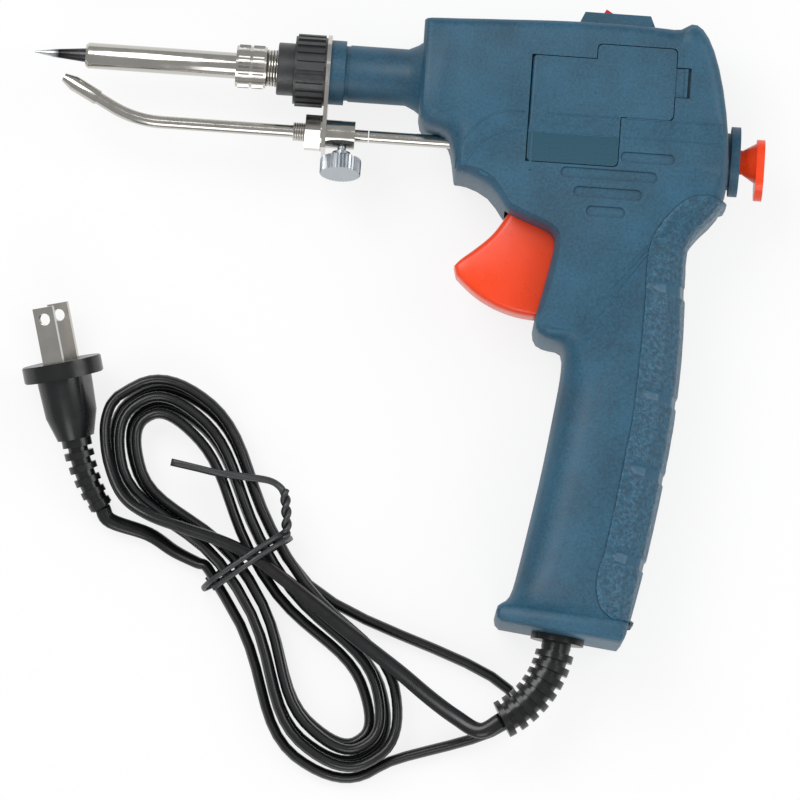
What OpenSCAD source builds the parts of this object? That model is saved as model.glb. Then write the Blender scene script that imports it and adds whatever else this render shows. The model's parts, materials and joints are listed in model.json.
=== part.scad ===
// Solder feed soldering gun, lying on its right side with its mains lead.
// Inside the modules the gun has its own axes: X runs back along the barrel from the
// front face of the housing, Y up from the barrel axis, Z from the joint between the halves.
// placed() moves that frame onto the table, with the flat of the right half at Z = 0.

/* [Housing] */
// Length of the housing, front face to back
housing_len = 93.4; // [88:0.2:98]
// Height of the housing above the barrel axis
housing_rise = 18; // [17:0.2:20]
// Depth of the grip below the barrel axis
housing_drop = 166.4; // [160:0.2:172]
// Thickness across both halves at the body
housing_t = 40; // [39:0.2:43]
// Thickness across both halves at the grip
grip_t = 34; // [32:0.2:36]
// Wall of the mouldings
wall = 2.6; // [2.4:0.1:3]
// Edge radius on the body
edge_r = 3; // [2.8:0.1:3.4]
// Edge radius on the grip
grip_edge_r = 11; // [10:0.2:12]
// Depth of the relief step on the sides
step_d = 0.9; // [0.4:0.1:1]
// Distance from the front face to the middle of the rest face
rest_x = 50; // [45:0.5:55]

/* [Neck] */
// Diameter of the neck tube
neck_d = 17; // [16.6:0.1:18]
// Length of the plain neck
neck_len = 18.6; // [17:0.2:21]
// Diameter of the collar at the front of the neck
collar_d = 19.3; // [18.6:0.1:20.4]
// Length of that collar
collar_len = 4.4; // [3.6:0.1:5.2]
// Length of the flare into the body
flare_len = 4.2; // [3.6:0.1:5]
// Diameter of the spigot that the ribbed nut screws on
spigot_d = 14; // [13.4:0.1:14.6]
// Length of that spigot
spigot_len = 9; // [8.6:0.1:9.4]
// Bore of the neck
neck_bore = 10.8; // [10.4:0.1:11.4]

/* [Barrel] */
// Thickness of the bracket plate
plate_t = 1.2; // [1:0.1:1.6]
// Diameter of the ribbed nut over its ribs
nut_d = 21.6; // [21:0.1:23]
// Length of the ribbed nut
nut_len = 9.6; // [9.6:0.1:11]
// Diameter of the smooth collar in front of it
flange_d = 15.8; // [15:0.1:17]
// Length of the smooth collar
flange_len = 5.1; // [4.4:0.1:6]
// Diameter of the threaded neck
thread_d = 10.8; // [10.4:0.1:11.2]
// Length of thread that shows
thread_len = 3.3; // [2.6:0.1:4.4]
// Diameter of the knurled nut
knurl_d = 13; // [12.8:0.1:14]
// Length of the knurled nut
knurl_len = 9.1; // [8.6:0.1:10]
// Diameter of the barrel sleeve
sleeve_d = 7.8; // [7.4:0.1:8.2]
// Length of the barrel sleeve in front of its nut
sleeve_len = 45.2; // [42:0.2:50]
// Diameter of the soldering tip where it leaves the sleeve
tip_d = 4.2; // [3.8:0.1:4.8]
// Length of the tip that shows
tip_len = 15.4; // [13:0.2:18]
// Diameter of the ceramic heater
heater_d = 3.9; // [3.6:0.1:4.1]

/* [Solder path] */
// Height of the barrel axis over the solder path
path_drop = 18.6; // [18:0.1:19.4]
// Outside diameter of the steel tubes
tube_d = 3.8; // [3.6:0.1:4.2]
// Bore of the steel tubes
tube_bore = 2.2; // [1.8:0.1:2.6]
// Diameter of the solder wire that it feeds
wire_d = 1; // [0.8:0.1:1.2]
// Diameter of the clamp block
block_d = 8.6; // [8:0.1:9.4]
// Length of the clamp block behind the plate
block_len = 8.6; // [8:0.1:10]
// Width across the flats of the hex nut
hex_af = 10; // [9.6:0.1:10.6]
// Thickness of the hex nut
hex_len = 4.6; // [4:0.1:5.4]
// Diameter of the threaded end of the block
stud_d = 5.4; // [5.2:0.1:6]
// Length of thread in front of the hex nut
stud_len = 3.6; // [3:0.1:4.4]
// Straight run of the front tube, ahead of the clamp block
front_run = 49.5; // [46:0.5:54]
// Radius of the bend in the front tube
bend_r = 32.3; // [29:0.2:36]
// Angle of that bend
bend_a = 27.6; // [24:0.2:30]
// Straight end of the front tube
bend_tail = 9; // [8:0.2:11]
// Diameter of the nozzle
nozzle_d = 4.6; // [4.4:0.1:5.2]
// Length of the nozzle, with its taper
nozzle_len = 12; // [11:0.2:14]
// Diameter of the nozzle at its mouth
nozzle_tip_d = 2.6; // [2.5:0.1:3]
// Travel of the front tube in its clamp
slide_travel = 6; // [4:0.5:8]

/* [Thumb screw] */
// Diameter of the screw
screw_d = 2.6; // [2.4:0.1:3]
// Diameter of the collar under the head
screw_collar_d = 5.7; // [5.2:0.1:6.4]
// Diameter of the knurled head
knob_d = 12; // [11:0.2:13]
// Thickness of the knurled head
knob_t = 4.6; // [4:0.1:5.4]
// Lean of the screw towards the left side
knob_lean = 14; // [8:1:20]

/* [Solder inlet] */
// Diameter of the round boss at the back
boss_d = 17; // [16:0.2:18.6]
// Diameter of the flange on that boss
boss_flange_d = 21; // [20:0.2:22]
// Thickness of that flange
boss_flange_t = 2.7; // [2.2:0.1:3.2]
// Diameter of the neck of the funnel
funnel_neck_d = 7.3; // [6.8:0.1:8]
// Length of the funnel behind the boss
funnel_len = 7.5; // [6.6:0.1:9]
// Height of the funnel's rim
rim_h = 18.5; // [17.6:0.1:20]
// Width of the funnel's rim
rim_w = 14; // [13:0.1:15]
// Thickness of the funnel's rim
rim_t = 2.4; // [2:0.1:3]
// Bore of the funnel
inlet_bore = 2.4; // [2:0.1:2.8]

/* [Trigger] */
// Radius of the trigger's lower edge about its pivot
trigger_r = 34.2; // [33:0.2:35]
// Thickness of the trigger
trigger_t = 14; // [13:0.2:15]
// Diameter of the trigger pin
trigger_pin_d = 3; // [2.6:0.1:3.4]
// Travel of the trigger
trigger_travel = 18; // [14:1:20]
// Tooth module of the feed gears
tooth_m = 0.9; // [0.8:0.05:1]
// Teeth on the pinion
pinion_teeth = 12; // [12:1:13]
// Teeth on a full turn of the trigger's gear
sector_teeth = 28; // [27:1:29]

/* [Feed] */
// Diameter of the knurled feed wheel
wheel_d = 14; // [13.4:0.1:14.6]
// Width of the feed wheel
wheel_w = 4; // [3.6:0.1:4.4]
// Diameter of the feed shaft
shaft_d = 3; // [2.6:0.1:3.4]
// Diameter of the pressure wheel
roller_d = 8; // [7.4:0.1:8.6]

/* [Switch] */
// Length of the switch's frame
switch_len = 16.4; // [15.6:0.1:17]
// Width of the switch's frame
switch_w = 10.6; // [10:0.1:11.4]
// Height of the pod round the switch
pod_h = 3.8; // [3:0.1:4.6]
// Width of the pod
pod_w = 24; // [22:0.2:27]
// Rock of the rocker between its two positions
rocker_angle = 18; // [14:1:20]

/* [Door] */
// Thickness of the door
door_t = 2.6; // [2.4:0.1:2.8]
// Gap round the door
door_gap = 0.25; // [0.2:0.05:0.35]
// Corner radius of the door
door_r = 1.5; // [1.2:0.1:1.8]
// Diameter of the hinge pin
hinge_pin_d = 1.1; // [1:0.05:1.2]

/* [Lead] */
// Width of the flat lead
cord_w = 4.8; // [4.6:0.1:5]
// Thickness of the flat lead
cord_t = 3.2; // [3:0.1:3.3]
// Diameter of the cord guard
guard_d = 11.5; // [11:0.1:12.4]
// Diameter of its flange
guard_flange_d = 16; // [15:0.2:17]
// Turn of the guard
guard_turn = 53; // [50:1:56]
// Radius of the guard's bend
guard_bend_r = 30; // [28:0.5:33]
// Width of the plug
plug_w = 24; // [23:0.2:26]
// Width of a plug blade
blade_w = 6.35; // [6.2:0.05:6.5]
// Length of a plug blade
blade_len = 17; // [15.5:0.1:18]

/* [Hidden] */

// Running clearance on a radius, and the overrun of every cut
fit = 0.05;
loose = 0.3;
over = 0.5;
blue = "#44708a";
orange = "#ff5a30";
steel = "silver";
black = "#202224";

// Outline of the housing, front face to base. Each row joins a point of the front and lower
// edge to a point of the top and rear edge: x and y of both, as shares of the length and of the
// rise or drop, then the shares of the body's thickness and of the grip's edge radius.
outline_shares = [
    [0.000, -0.066, 0.000, 0.845, 1, 0.20, 0],
    [0.004, -0.084, 0.004, 0.885, 1, 0.30, 0],
    [0.028, -0.099, 0.035, 0.895, 1, 0.45, 0],
    [0.074, -0.101, 0.080, 0.905, 1, 0.45, 0],
    [0.105, -0.113, 0.128, 0.915, 1, 0.40, 0],
    [0.118, -0.140, 0.180, 0.930, 1, 0.30, 0],
    [0.128, -0.175, 0.250, 0.945, 1, 0.25, 0],
    [0.132, -0.178, 0.310, 0.960, 1, 0.25, 0],
    [0.165, -0.178, 0.370, 0.975, 1, 0.35, 0],
    [0.245, -0.196, 0.450, 0.990, 1, 0.35, 0],
    [0.292, -0.233, 0.560, 1.000, 1, 0.20, 0],
    [0.304, -0.239, 0.670, 0.995, 1, 0.20, 0],
    [0.367, -0.254, 0.770, 0.985, 1, 0.20, 0.10],
    [0.440, -0.267, 0.822, 0.985, 1, 0.20, 0.35],
    [0.464, -0.282, 0.850, 1.130, 1, 0.20, 0.35],
    [0.457, -0.312, 0.888, 1.060, 1, 0.20, 0.30],
    [0.441, -0.360, 0.928, 0.700, 1, 0.20, 0.10],
    [0.422, -0.409, 0.966, 0.050, 1, 0.15, 0.10],
    [0.410, -0.436, 0.992, -0.085, 1, 0.10, 0],
    [0.424, -0.460, 1.001, -0.165, 1, 0, 0.50],
    [0.470, -0.468, 0.982, -0.212, 0.75, 0.15, 0.70],
    [0.512, -0.474, 0.920, -0.247, 0.40, 0.80, 0.60],
    [0.514, -0.506, 0.876, -0.280, 0.15, 0.65, 0.50],
    [0.508, -0.541, 0.884, -0.345, 0, 1, 1],
    [0.497, -0.589, 0.889, -0.440, 0, 1, 1],
    [0.485, -0.643, 0.886, -0.530, 0, 1, 1],
    [0.467, -0.715, 0.870, -0.640, 0, 1, 1],
    [0.443, -0.793, 0.846, -0.745, 0, 1, 1],
    [0.421, -0.865, 0.818, -0.845, 0, 1, 1],
    [0.403, -0.918, 0.790, -0.925, 0.20, 0.70, 0.80],
    [0.385, -0.939, 0.777, -0.962, 0.75, 0.15, 0.25],
    [0.355, -0.946, 0.772, -0.974, 1, 0, 0],
    [0.353, -0.970, 0.769, -0.990, 1, 0, 0],
    [0.372, -0.976, 0.753, -1.000, 1, 0, 0]
];

// Height of a share of the housing, above or below the barrel axis
function lift(s) = s > 0 ? s * housing_rise : s * housing_drop;
function across(s) = s * housing_len;
function mix(a, b, s) = a + (b - a) * s;
function housing_row(q) = [
    across(q[0]), lift(q[1]), across(q[2]), lift(q[3]),
    mix(grip_t, housing_t, q[4]) / 2,
    mix(edge_r, grip_edge_r, q[5]), mix(edge_r, grip_edge_r, q[6])
];
// Smooth curve through the middles between rows
function smooth(p) = [p[0], for (i = [1:len(p) - 2])
    let (a = i == 1 ? p[0] : (p[i - 1] + p[i]) / 2, b = i == len(p) - 2 ? p[i + 1] : (p[i] + p[i + 1]) / 2)
    each [(a + 2 * p[i] + b) / 4, b]];
housing_rows = [for (q = outline_shares) housing_row(q)];

// Points of the loop round a ladder of rows: x, y, half thickness, edge radius
function loop_of(rows) = concat(
    [for (q = rows) [q[0], q[1], q[4], q[5]]],
    [for (i = [len(rows) - 1:-1:0]) [rows[i][2], rows[i][3], rows[i][4], rows[i][6]]]
);
function unit(v) = v / norm(v);
// Inward direction of one edge, and its mean over the edges near a point of the loop
function edge_in(p, i) = let (n = len(p), u = unit([for (k = [0, 1]) p[(i + 1) % n][k] - p[i % n][k]])) [-u[1], u[0]];
function total(v, i = 0) = i < len(v) ? v[i] + total(v, i + 1) : [0, 0];
reach = 4;
function inward(p, i) = total([for (k = [-reach:reach - 1]) edge_in(p, i + k + len(p))]) / (2 * reach);

// Half of a moulded body with rounded edges, lofted from a ladder of rows.
// skin is how far the surface lies inside the outline, steps the facets of its edge.
module moulded_half(rows, skin, floor_z, steps) {
    loop = loop_of(rows);
    n = len(loop);
    m = len(rows);
    levels = steps + 1;
    points = [for (k = [0:levels]) for (i = [0:n - 1])
        let (
            r = max(loop[i][3] - skin, wall / 4), a = max(k - 1, 0) * 90 / steps,
            w = inward(loop, i) * (skin + r * (1 - cos(a))), top = loop[i][2] - skin
        )
        [loop[i][0] + w[0], loop[i][1] + w[1], k == 0 ? floor_z : top - r + r * sin(a)]];
    sides = [for (k = [0:levels - 1]) for (i = [0:n - 1])
        let (a = k * n + i, b = k * n + (i + 1) % n, c = b + n, d = a + n)
        each [[a, d, c], [a, c, b]]];
    top = [for (k = [0:m - 2]) let (s = levels * n, a = s + k, b = s + n - 1 - k)
        each [[a, b, b - 1], [a, b - 1, a + 1]]];
    base = [for (k = [0:m - 2]) let (a = k, b = n - 1 - k)
        each [[a, a + 1, b - 1], [a, b - 1, b]]];
    polyhedron(points, concat(sides, top, base));
}

// Turned piece about the barrel axis, from points of place along the axis and radius
module turned(profile) {
    rotate([0, 90, 0])
        rotate_extrude($fn = 64) polygon([for (p = profile) [p[1], p[0]]]);
}
module turned_half(profile) {
    rotate([90, 0, 0]) rotate([0, 90, 0])
        rotate_extrude(angle = 180, $fn = 64) polygon([for (p = profile) [p[1], p[0]]]);
}
module rod(r, from_x, to_x) {
    translate([from_x, 0, 0]) rotate([0, 90, 0]) cylinder(r = r, h = to_x - from_x, $fn = 48);
}
module on_path() {
    translate([0, -path_drop, 0]) children();
}
module placed() {
    translate([-rest_x, 0, housing_t / 2]) children();
}

// Places along the barrel, all in front of the housing
neck_front = -(flare_len + neck_len + collar_len);
plate_front = neck_front - plate_t;
nut_front = plate_front - nut_len;
flange_front = nut_front - flange_len;
thread_front = flange_front - thread_len;
knurl_front = thread_front - knurl_len;
sleeve_front = knurl_front - sleeve_len;
tip_point = sleeve_front - tip_len;

// Mechanism: pivots in the housing
pivot = [across(0.424), lift(-0.2151)];
gear_gap = tooth_m * (pinion_teeth + sector_teeth) / 2;
wheel_y = -path_drop - (wheel_d + wire_d) / 2;
wheel_x = pivot[0] + sqrt(pow(gear_gap, 2) - pow(wheel_y - pivot[1], 2));
roller_y = -path_drop + (roller_d + wire_d) / 2;
arm_x = wheel_x + across(0.16);
arm_y = roller_y + wall / 2;
gear_a = atan2(wheel_y - pivot[1], wheel_x - pivot[0]);
nose_a = 223;
heel_a = 277;
cheek_z = trigger_t / 2 + 2 * loose;
shaft_half = housing_t / 2 - 2 * wall;
boss_r = 3.1;
cheek_in = wheel_w / 2 + 2 * loose;
cheek_t = 1.6;
arm_half = cheek_in + cheek_t + loose;

// Screws that join the halves: place, and whether it is in the grip
screw_shares = [[0.10, 0.50, 0], [0.885, 0.40, 0], [0.235, -0.162, 0], [0.895, -0.200, 0],
    [0.665, -0.530, 1], [0.690, -0.900, 1]];
post_r = 3.6;
screw_r = 1.4;
head_r = 2.8;
head_t = 2.2;
bore_deep = 6;
screw_seat = 8;
function post_half(s) = (s == 1 ? grip_t : housing_t) / 2;

// Switch and pod
switch_x = across(0.615);
pod_top = lift(1) + pod_h;
pod_run = across(0.21);
pod_base = across(0.27);
switch_deep = 13;

// Door, as places along and up the housing
door_front = across(0.351);
door_back = across(0.809);
door_low_back = across(0.642);
door_high_front = across(0.557);
door_low = lift(-0.1505);
door_mid = lift(-0.0618);
door_high_low = lift(0.366);
door_high = lift(0.616);
hinge_r = door_t / 2;
hinge_x = door_front + hinge_r;
hinge_z = housing_t / 2 - hinge_r - door_gap / 2;
latch_w = across(0.049);
latch_low = lift(-0.0205);
latch_high = lift(0.317);

module half_neck() {
    inner = neck_bore / 2;
    turned_half([
        [wall, inner], [wall, neck_d / 2 + wall], [0, neck_d / 2 + wall - loose],
        [-flare_len / 3, neck_d / 2 + wall / 2],
        [-flare_len, neck_d / 2], [neck_front + collar_len + wall / 2, neck_d / 2],
        [neck_front + collar_len + wall / 2, neck_d / 2 - loose], [neck_front + collar_len, neck_d / 2 - loose],
        [neck_front + collar_len, collar_d / 2], [neck_front, collar_d / 2],
        [neck_front, spigot_d / 2], [neck_front - spigot_len, spigot_d / 2], [neck_front - spigot_len, inner]
    ]);
}
boss_back = across(1.035);
module half_boss() {
    on_path() turned_half([
        [across(0.95), funnel_neck_d / 2 + fit], [across(0.95), boss_d / 2],
        [boss_back - boss_flange_t, boss_d / 2], [boss_back - boss_flange_t, boss_flange_d / 2],
        [boss_back, boss_flange_d / 2], [boss_back, funnel_neck_d / 2 + fit]
    ]);
}
module half_pod() {
    linear_extrude(pod_w / 2) polygon([
        [switch_x - pod_base / 2, lift(0.86)], [switch_x - pod_run / 2, pod_top],
        [switch_x + pod_run / 2, pod_top], [switch_x + pod_base / 2, lift(0.86)]
    ]);
}
module door_outline(grow) {
    offset(r = door_r, $fn = 16) offset(delta = grow - door_r) polygon([
        [door_front, door_low], [door_low_back, door_low], [door_low_back, door_mid], [door_back, door_mid],
        [door_back, door_high], [door_high_front, door_high], [door_high_front, door_high_low],
        [door_front, door_high_low]
    ]);
}
// Region under a line that starts at the beak, rises round an ellipse and runs back level
module relief_outline(start_x, top_y, round_x, round_y) {
    polygon(concat(
        [[start_x, lift(-0.45)]],
        [for (a = [0:15:90]) [start_x + round_x * (1 - cos(a)), top_y - round_y * (1 - sin(a))]],
        [[across(1.1), top_y], [across(1.1), lift(-0.45)]]
    ));
}
module relief() {
    translate([0, 0, housing_t / 2]) hull() {
        linear_extrude(over) relief_outline(across(0.128), lift(-0.0635), across(0.182), lift(0.051) * 20);
        translate([0, 0, -step_d]) linear_extrude(over)
            relief_outline(across(0.143), lift(-0.098), across(0.177), lift(0.051) * 20);
    }
}
module bar(from_x, to_x, y, h) {
    translate([from_x, y - h / 2]) square([to_x - from_x, h]);
    translate([from_x, y]) circle(h / 2, $fn = 24);
    translate([to_x, y]) circle(h / 2, $fn = 24);
}
// Recessed bars on the side: start, end and height as shares of the housing
bar_shares = [[0.668, 0.806, -0.1325], [0.481, 0.754, -0.1665], [0.526, 0.709, -0.200], [0.570, 0.659, -0.2335]];
bar_h = 3.3;
bar_d = 0.7;
// Grooves round the back of the grip: front end, height and back of the grip there
groove_shares = [[0.786, -0.343, 0.884], [0.778, -0.535, 0.887], [0.760, -0.666, 0.866], [0.712, -0.828, 0.826]];
groove_h = 3.6;
groove_d = 1.2;
module groove(q) {
    back = across(q[2]) - groove_d;
    side = grip_t / 2 - groove_d;
    r = grip_edge_r - groove_d;
    translate([0, lift(q[1]) + groove_h / 2, 0]) rotate([90, 0, 0]) linear_extrude(groove_h) difference() {
        translate([across(q[0]), -over]) square([across(0.2), grip_t]);
        translate([across(q[0]) - over, -2 * over]) square([back - r - across(q[0]) + over, side + 2 * over]);
        translate([0, -2 * over]) square([back, side - r + 2 * over]);
        translate([back - r, side - r]) circle(r, $fn = 48);
    }
}
module screw_posts(hole_r, deep) {
    for (q = screw_shares)
        translate([across(q[0]), lift(q[1]), 0]) difference() {
            cylinder(r = post_r, h = post_half(q[2]) - wall / 2, $fn = 32);
            translate([0, 0, -over]) cylinder(r = hole_r, h = deep + 2 * over, $fn = 32);
        }
}
module head_holes() {
    for (q = screw_shares) translate([across(q[0]), lift(q[1]), screw_seat])
        cylinder(r = head_r + loose, h = housing_t, $fn = 32);
}
module pin_boss(x, y, from_z, pin_r) {
    translate([x, y, from_z]) difference() {
        cylinder(r = boss_r, h = housing_t / 2 - wall / 2 - from_z, $fn = 32);
        translate([0, 0, -over])
            cylinder(r = pin_r + fit, h = shaft_half - from_z + over + loose, $fn = 32);
    }
}
module pin_bosses() {
    pin_boss(pivot[0], pivot[1], cheek_z, trigger_pin_d / 2);
    pin_boss(wheel_x, wheel_y, shaft_half - 2 * wall, shaft_d / 2);
    pin_boss(arm_x, arm_y, arm_half, shaft_d / 2);
}
// Pie cut through the front wall where the trigger swings
module trigger_slot() {
    swing_r = trigger_r + 3 * loose;
    translate([pivot[0], pivot[1], -over]) linear_extrude(trigger_t / 2 + 2 * loose + over) {
        intersection() {
            circle(swing_r, $fn = 96);
            polygon([[0, 0], for (a = [195, 235, 270, heel_a + trigger_travel + 5]) 2 * swing_r * [cos(a), sin(a)]]);
        }
        circle(trigger_r * 0.36, $fn = 64);
    }
}
module half_cuts() {
    rod(neck_bore / 2, -over, 2 * wall);
    on_path() rod(tube_d / 2 + fit, across(0.05), across(0.3));
    on_path() rod(funnel_neck_d / 2 + fit, across(0.9), across(1.1));
    trigger_slot();
    translate([switch_x - switch_len / 2 + wall / 2, lift(0.6), -over])
        cube([switch_len - wall, pod_top, switch_w / 2 - wall / 4 + over]);
    base_frame() rotate([90, 0, 0]) cylinder(r = guard_neck_r + fit, h = wall * 4, center = true, $fn = 48);
    relief();
    for (q = groove_shares) groove(q);
}

// Base of the grip: the guard leaves square to it
base_front = outline_shares[len(outline_shares) - 1];
base_a = atan2(lift(base_front[3]) - lift(base_front[1]), across(base_front[2] - base_front[0]));
base_x = across(0.559);
base_y = lift(base_front[1]) + (base_x - across(base_front[0])) * tan(base_a);
guard_neck_r = 4.4;
module base_frame() {
    translate([base_x, base_y, 0]) rotate([0, 0, base_a]) children();
}

module half_body() {
    difference() {
        moulded_half(smooth(housing_rows), 0, 0, 3);
        moulded_half(smooth(housing_rows), wall, -over, 2);
    }
}

hinge_seat = 3;
pocket_d = 1.8;
module bars() {
    for (q = bar_shares) translate([0, 0, housing_t / 2 - step_d - bar_d])
        linear_extrude(wall) bar(across(q[0]), across(q[1]), lift(q[2]), bar_h);
}
// Rib across a half, with a bore for the tube that it carries
module tube_rib(x, r) {
    on_path() difference() {
        translate([x - wall / 2, -boss_r, 0]) cube([wall, 2 * boss_r, housing_t / 2 - wall * 0.9]);
        rod(r + fit, x - wall, x + wall);
    }
}
module spring_stop() {
    translate([stop_x, spring_y - boss_r, 0]) cube([wall, 2 * boss_r, housing_t / 2 - wall * 0.9]);
}
module left_half() {
    difference() {
        union() {
            half_body();
            half_neck();
            half_boss();
            half_pod();
            screw_posts(screw_r + fit, bore_deep + screw_r);
            pin_bosses();
            spring_stop();
            translate([0, 0, housing_t / 2 - door_t - door_gap - wall / 2])
                linear_extrude(wall) door_outline(wall);
        }
        half_cuts();
        bars();
        translate([0, 0, housing_t / 2 - door_t - door_gap]) linear_extrude(2 * door_t) door_outline(door_gap);
        translate([0, 0, housing_t / 2 - 3 * door_t]) linear_extrude(4 * door_t) door_outline(-wall);
        translate([door_front - door_gap, door_low - door_gap, housing_t / 2 - door_t - door_gap])
            cube([door_t, door_high_low - door_low + 2 * door_gap, 2 * door_t]);
        translate([door_back - over, latch_low, housing_t / 2 - pocket_d])
            cube([latch_w + over, latch_high - latch_low, 2 * pocket_d]);
        translate([hinge_x, door_low - hinge_seat, hinge_z]) rotate([-90, 0, 0])
            cylinder(r = hinge_pin_d / 2 + fit, h = door_high_low - door_low + 2 * hinge_seat, $fn = 32);
    }
}
module right_half() {
    difference() {
        union() {
            half_body();
            half_neck();
            half_boss();
            half_pod();
            screw_posts(screw_r + loose, screw_seat);
            pin_bosses();
            spring_stop();
            tube_rib(across(0.80), tube_d / 2);
            translate([arm_mid - boss_r, shelf_y, -boss_r])
                cube([2 * boss_r, wall, housing_t / 2 - wall * 0.9 + boss_r]);
            base_frame() {
                translate([-clamp_w / 2, clamp_y - clamp_h / 2, cord_t / 2 + fit])
                    cube([clamp_w, clamp_h, grip_t / 2 - wall * 0.9 - cord_t / 2]);
                translate([-blade_w / 2, inner_run + fit, blade_w])
                    cube([blade_w, 2 * blade_w, grip_t / 2 - wall * 0.9 - blade_w]);
            }
        }
        half_cuts();
        bars();
        head_holes();
        for (i = [-1, 1]) base_frame() translate([i * clamp_w / 3, clamp_y, 0])
            cylinder(r = screw_r + fit, h = clamp_screw + loose, $fn = 32);
    }
}
module left_housing() color(blue) placed() left_half();
module right_housing() color(blue) placed() mirror([0, 0, 1]) right_half();
module housing_screws() color(steel) placed() mirror([0, 0, 1])
    for (q = screw_shares) translate([across(q[0]), lift(q[1]), 0]) {
        difference() {
            union() {
                translate([0, 0, -bore_deep])
                    cylinder(r = screw_r, h = bore_deep + screw_seat + head_t / 2, $fn = 32);
                translate([0, 0, screw_seat]) cylinder(r = head_r, h = head_t, $fn = 32);
            }
            for (a = [0, 90]) translate([0, 0, screw_seat + head_t]) rotate([0, 0, a])
                cube([2 * screw_r, head_r / 4, head_t], center = true);
        }
    }

module hinge_axis(r, from_y, to_y) {
    translate([hinge_x, from_y, hinge_z]) rotate([-90, 0, 0]) cylinder(r = r, h = to_y - from_y, $fn = 32);
}
module feed_door() color(blue) placed() difference() {
    union() {
        intersection() {
            translate([0, 0, housing_t / 2 - 2 * door_t]) linear_extrude(2 * door_t) door_outline(0);
            union() {
                translate([hinge_x, door_low - door_t, housing_t / 2 - door_t])
                    cube([housing_len, door_high - door_low + 2 * door_t, door_t]);
                hinge_axis(hinge_r, door_low, door_high_low);
            }
        }
        translate([door_back - wall, latch_low + door_gap, housing_t / 2 - pocket_d + door_gap])
            cube([wall + latch_w * 0.8, latch_high - latch_low - 2 * door_gap, pocket_d / 2]);
        translate([door_back + latch_w * 0.6, latch_low + door_gap, housing_t / 2 - pocket_d + door_gap])
            cube([latch_w * 0.2, latch_high - latch_low - 2 * door_gap, pocket_d - 2 * door_gap]);
    }
    relief();
    translate([0, 0, -bar_d / 2]) bars();
    hinge_axis(hinge_pin_d / 2 + fit, door_low - door_t, door_high);
}
module door_hinge_pin() color(steel) placed()
    hinge_axis(hinge_pin_d / 2, door_low - hinge_seat + loose, door_high_low + hinge_seat - loose);

// Trigger: lower arc about the pivot, and the finger face and top as shares of its radius
finger_shares = [[-0.755, -0.600], [-0.715, -0.548], [-0.655, -0.500], [-0.580, -0.438], [-0.505, -0.372],
    [-0.440, -0.305], [-0.385, -0.225], [-0.340, -0.150], [-0.300, -0.080], [-0.220, 0.020], [0.100, 0.060]];
trigger_edge = 2;
hub_r = 5.6;
gear_w = 3.8;
gear_z = wheel_w / 2 + 2 * loose;
trigger_rows = [for (i = [0:len(finger_shares) - 1])
    let (a = nose_a + (heel_a - nose_a) * i / (len(finger_shares) - 1))
    [trigger_r * cos(a), trigger_r * sin(a), trigger_r * finger_shares[i][0], trigger_r * finger_shares[i][1],
        trigger_t / 2, trigger_edge, trigger_edge]];
module at_pivot() {
    translate([pivot[0], pivot[1], 0]) children();
}
// Tooth of a feed gear, half its widths at root, pitch line and tip
module tooth(teeth) {
    r = tooth_m * teeth / 2;
    w = tooth_m * PI / 4;
    polygon([
        [r - tooth_m * 1.3, -w * 1.25], [r - tooth_m * 0.6, -w * 1.15], [r, -w * 0.86],
        [r + tooth_m * 0.75, -w * 0.42], [r + tooth_m * 0.75, w * 0.42],
        [r, w * 0.86], [r - tooth_m * 0.6, w * 1.15], [r - tooth_m * 1.3, w * 1.25]
    ]);
}
sector_r = tooth_m * sector_teeth / 2;
// Ends of the toothed sector, in teeth from the line to the pinion
sector_shares = [-3.9, -2, 0, 1.7];
pinion_r = tooth_m * pinion_teeth / 2;
module trigger() color(orange) placed() difference() {
    union() {
        at_pivot() {
            moulded_half(smooth(trigger_rows), 0, 0, 3);
            mirror([0, 0, 1]) moulded_half(smooth(trigger_rows), 0, 0, 3);
            translate([0, 0, -trigger_t / 2]) cylinder(r = hub_r, h = trigger_t, $fn = 48);
            translate([0, 0, gear_z]) linear_extrude(gear_w) {
                intersection() {
                    circle(sector_r - tooth_m * 1.1, $fn = 64);
                    polygon([[0, 0], for (s = sector_shares)
                        let (a = gear_a + s * 360 / sector_teeth) 2 * sector_r * [cos(a), sin(a)]]);
                }
                for (k = [-3:1]) rotate([0, 0, gear_a + k * 360 / sector_teeth]) tooth(sector_teeth);
            }
        }
    }
    at_pivot() cylinder(r = trigger_pin_d / 2 + fit, h = 2 * trigger_t, center = true, $fn = 32);
}
module trigger_pin() color(steel) placed() at_pivot()
    cylinder(r = trigger_pin_d / 2, h = 2 * shaft_half, center = true, $fn = 32);

// Tube swept along points, 8 sides, half width a and half thickness b of its section.
// roll turns the section about the tube, from its first ring to its last.
function along(p, i) = let (n = len(p)) unit(p[min(i + 1, n - 1)] - p[max(i - 1, 0)]);
function ring(c, t, a, b, sides, roll) = let (w = unit([-t[1], t[0], 0]), h = cross(t, w), q = 180 / sides)
    [for (i = [0:sides - 1]) let (
        f = (2 * i + 1) * q, x = a * cos(f), y = b * sin(f), k = sides == 6 ? 1 : 1 / cos(q)
    ) c + (w * (x * cos(roll) - y * sin(roll)) + h * (x * sin(roll) + y * cos(roll))) * k];
function sweep_faces(n, sides) = concat(
    [for (k = [1:sides - 2]) [0, k, k + 1]],
    [for (i = [0:n - 2]) for (k = [0:sides - 1])
        let (a = i * sides + k, b = i * sides + (k + 1) % sides, c = b + sides, d = a + sides)
        each [[a, c, b], [a, d, c]]],
    [for (k = [1:sides - 2]) let (s = (n - 1) * sides) [s, s + k + 1, s + k]]
);
module sweep(p, a, b, sides, roll_from, roll_to) {
    n = len(p);
    polyhedron(
        [for (i = [0:n - 1]) each ring(p[i], along(p, i), a, b, sides, mix(roll_from, roll_to, i / (n - 1)))],
        sweep_faces(n, sides)
    );
}
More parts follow.
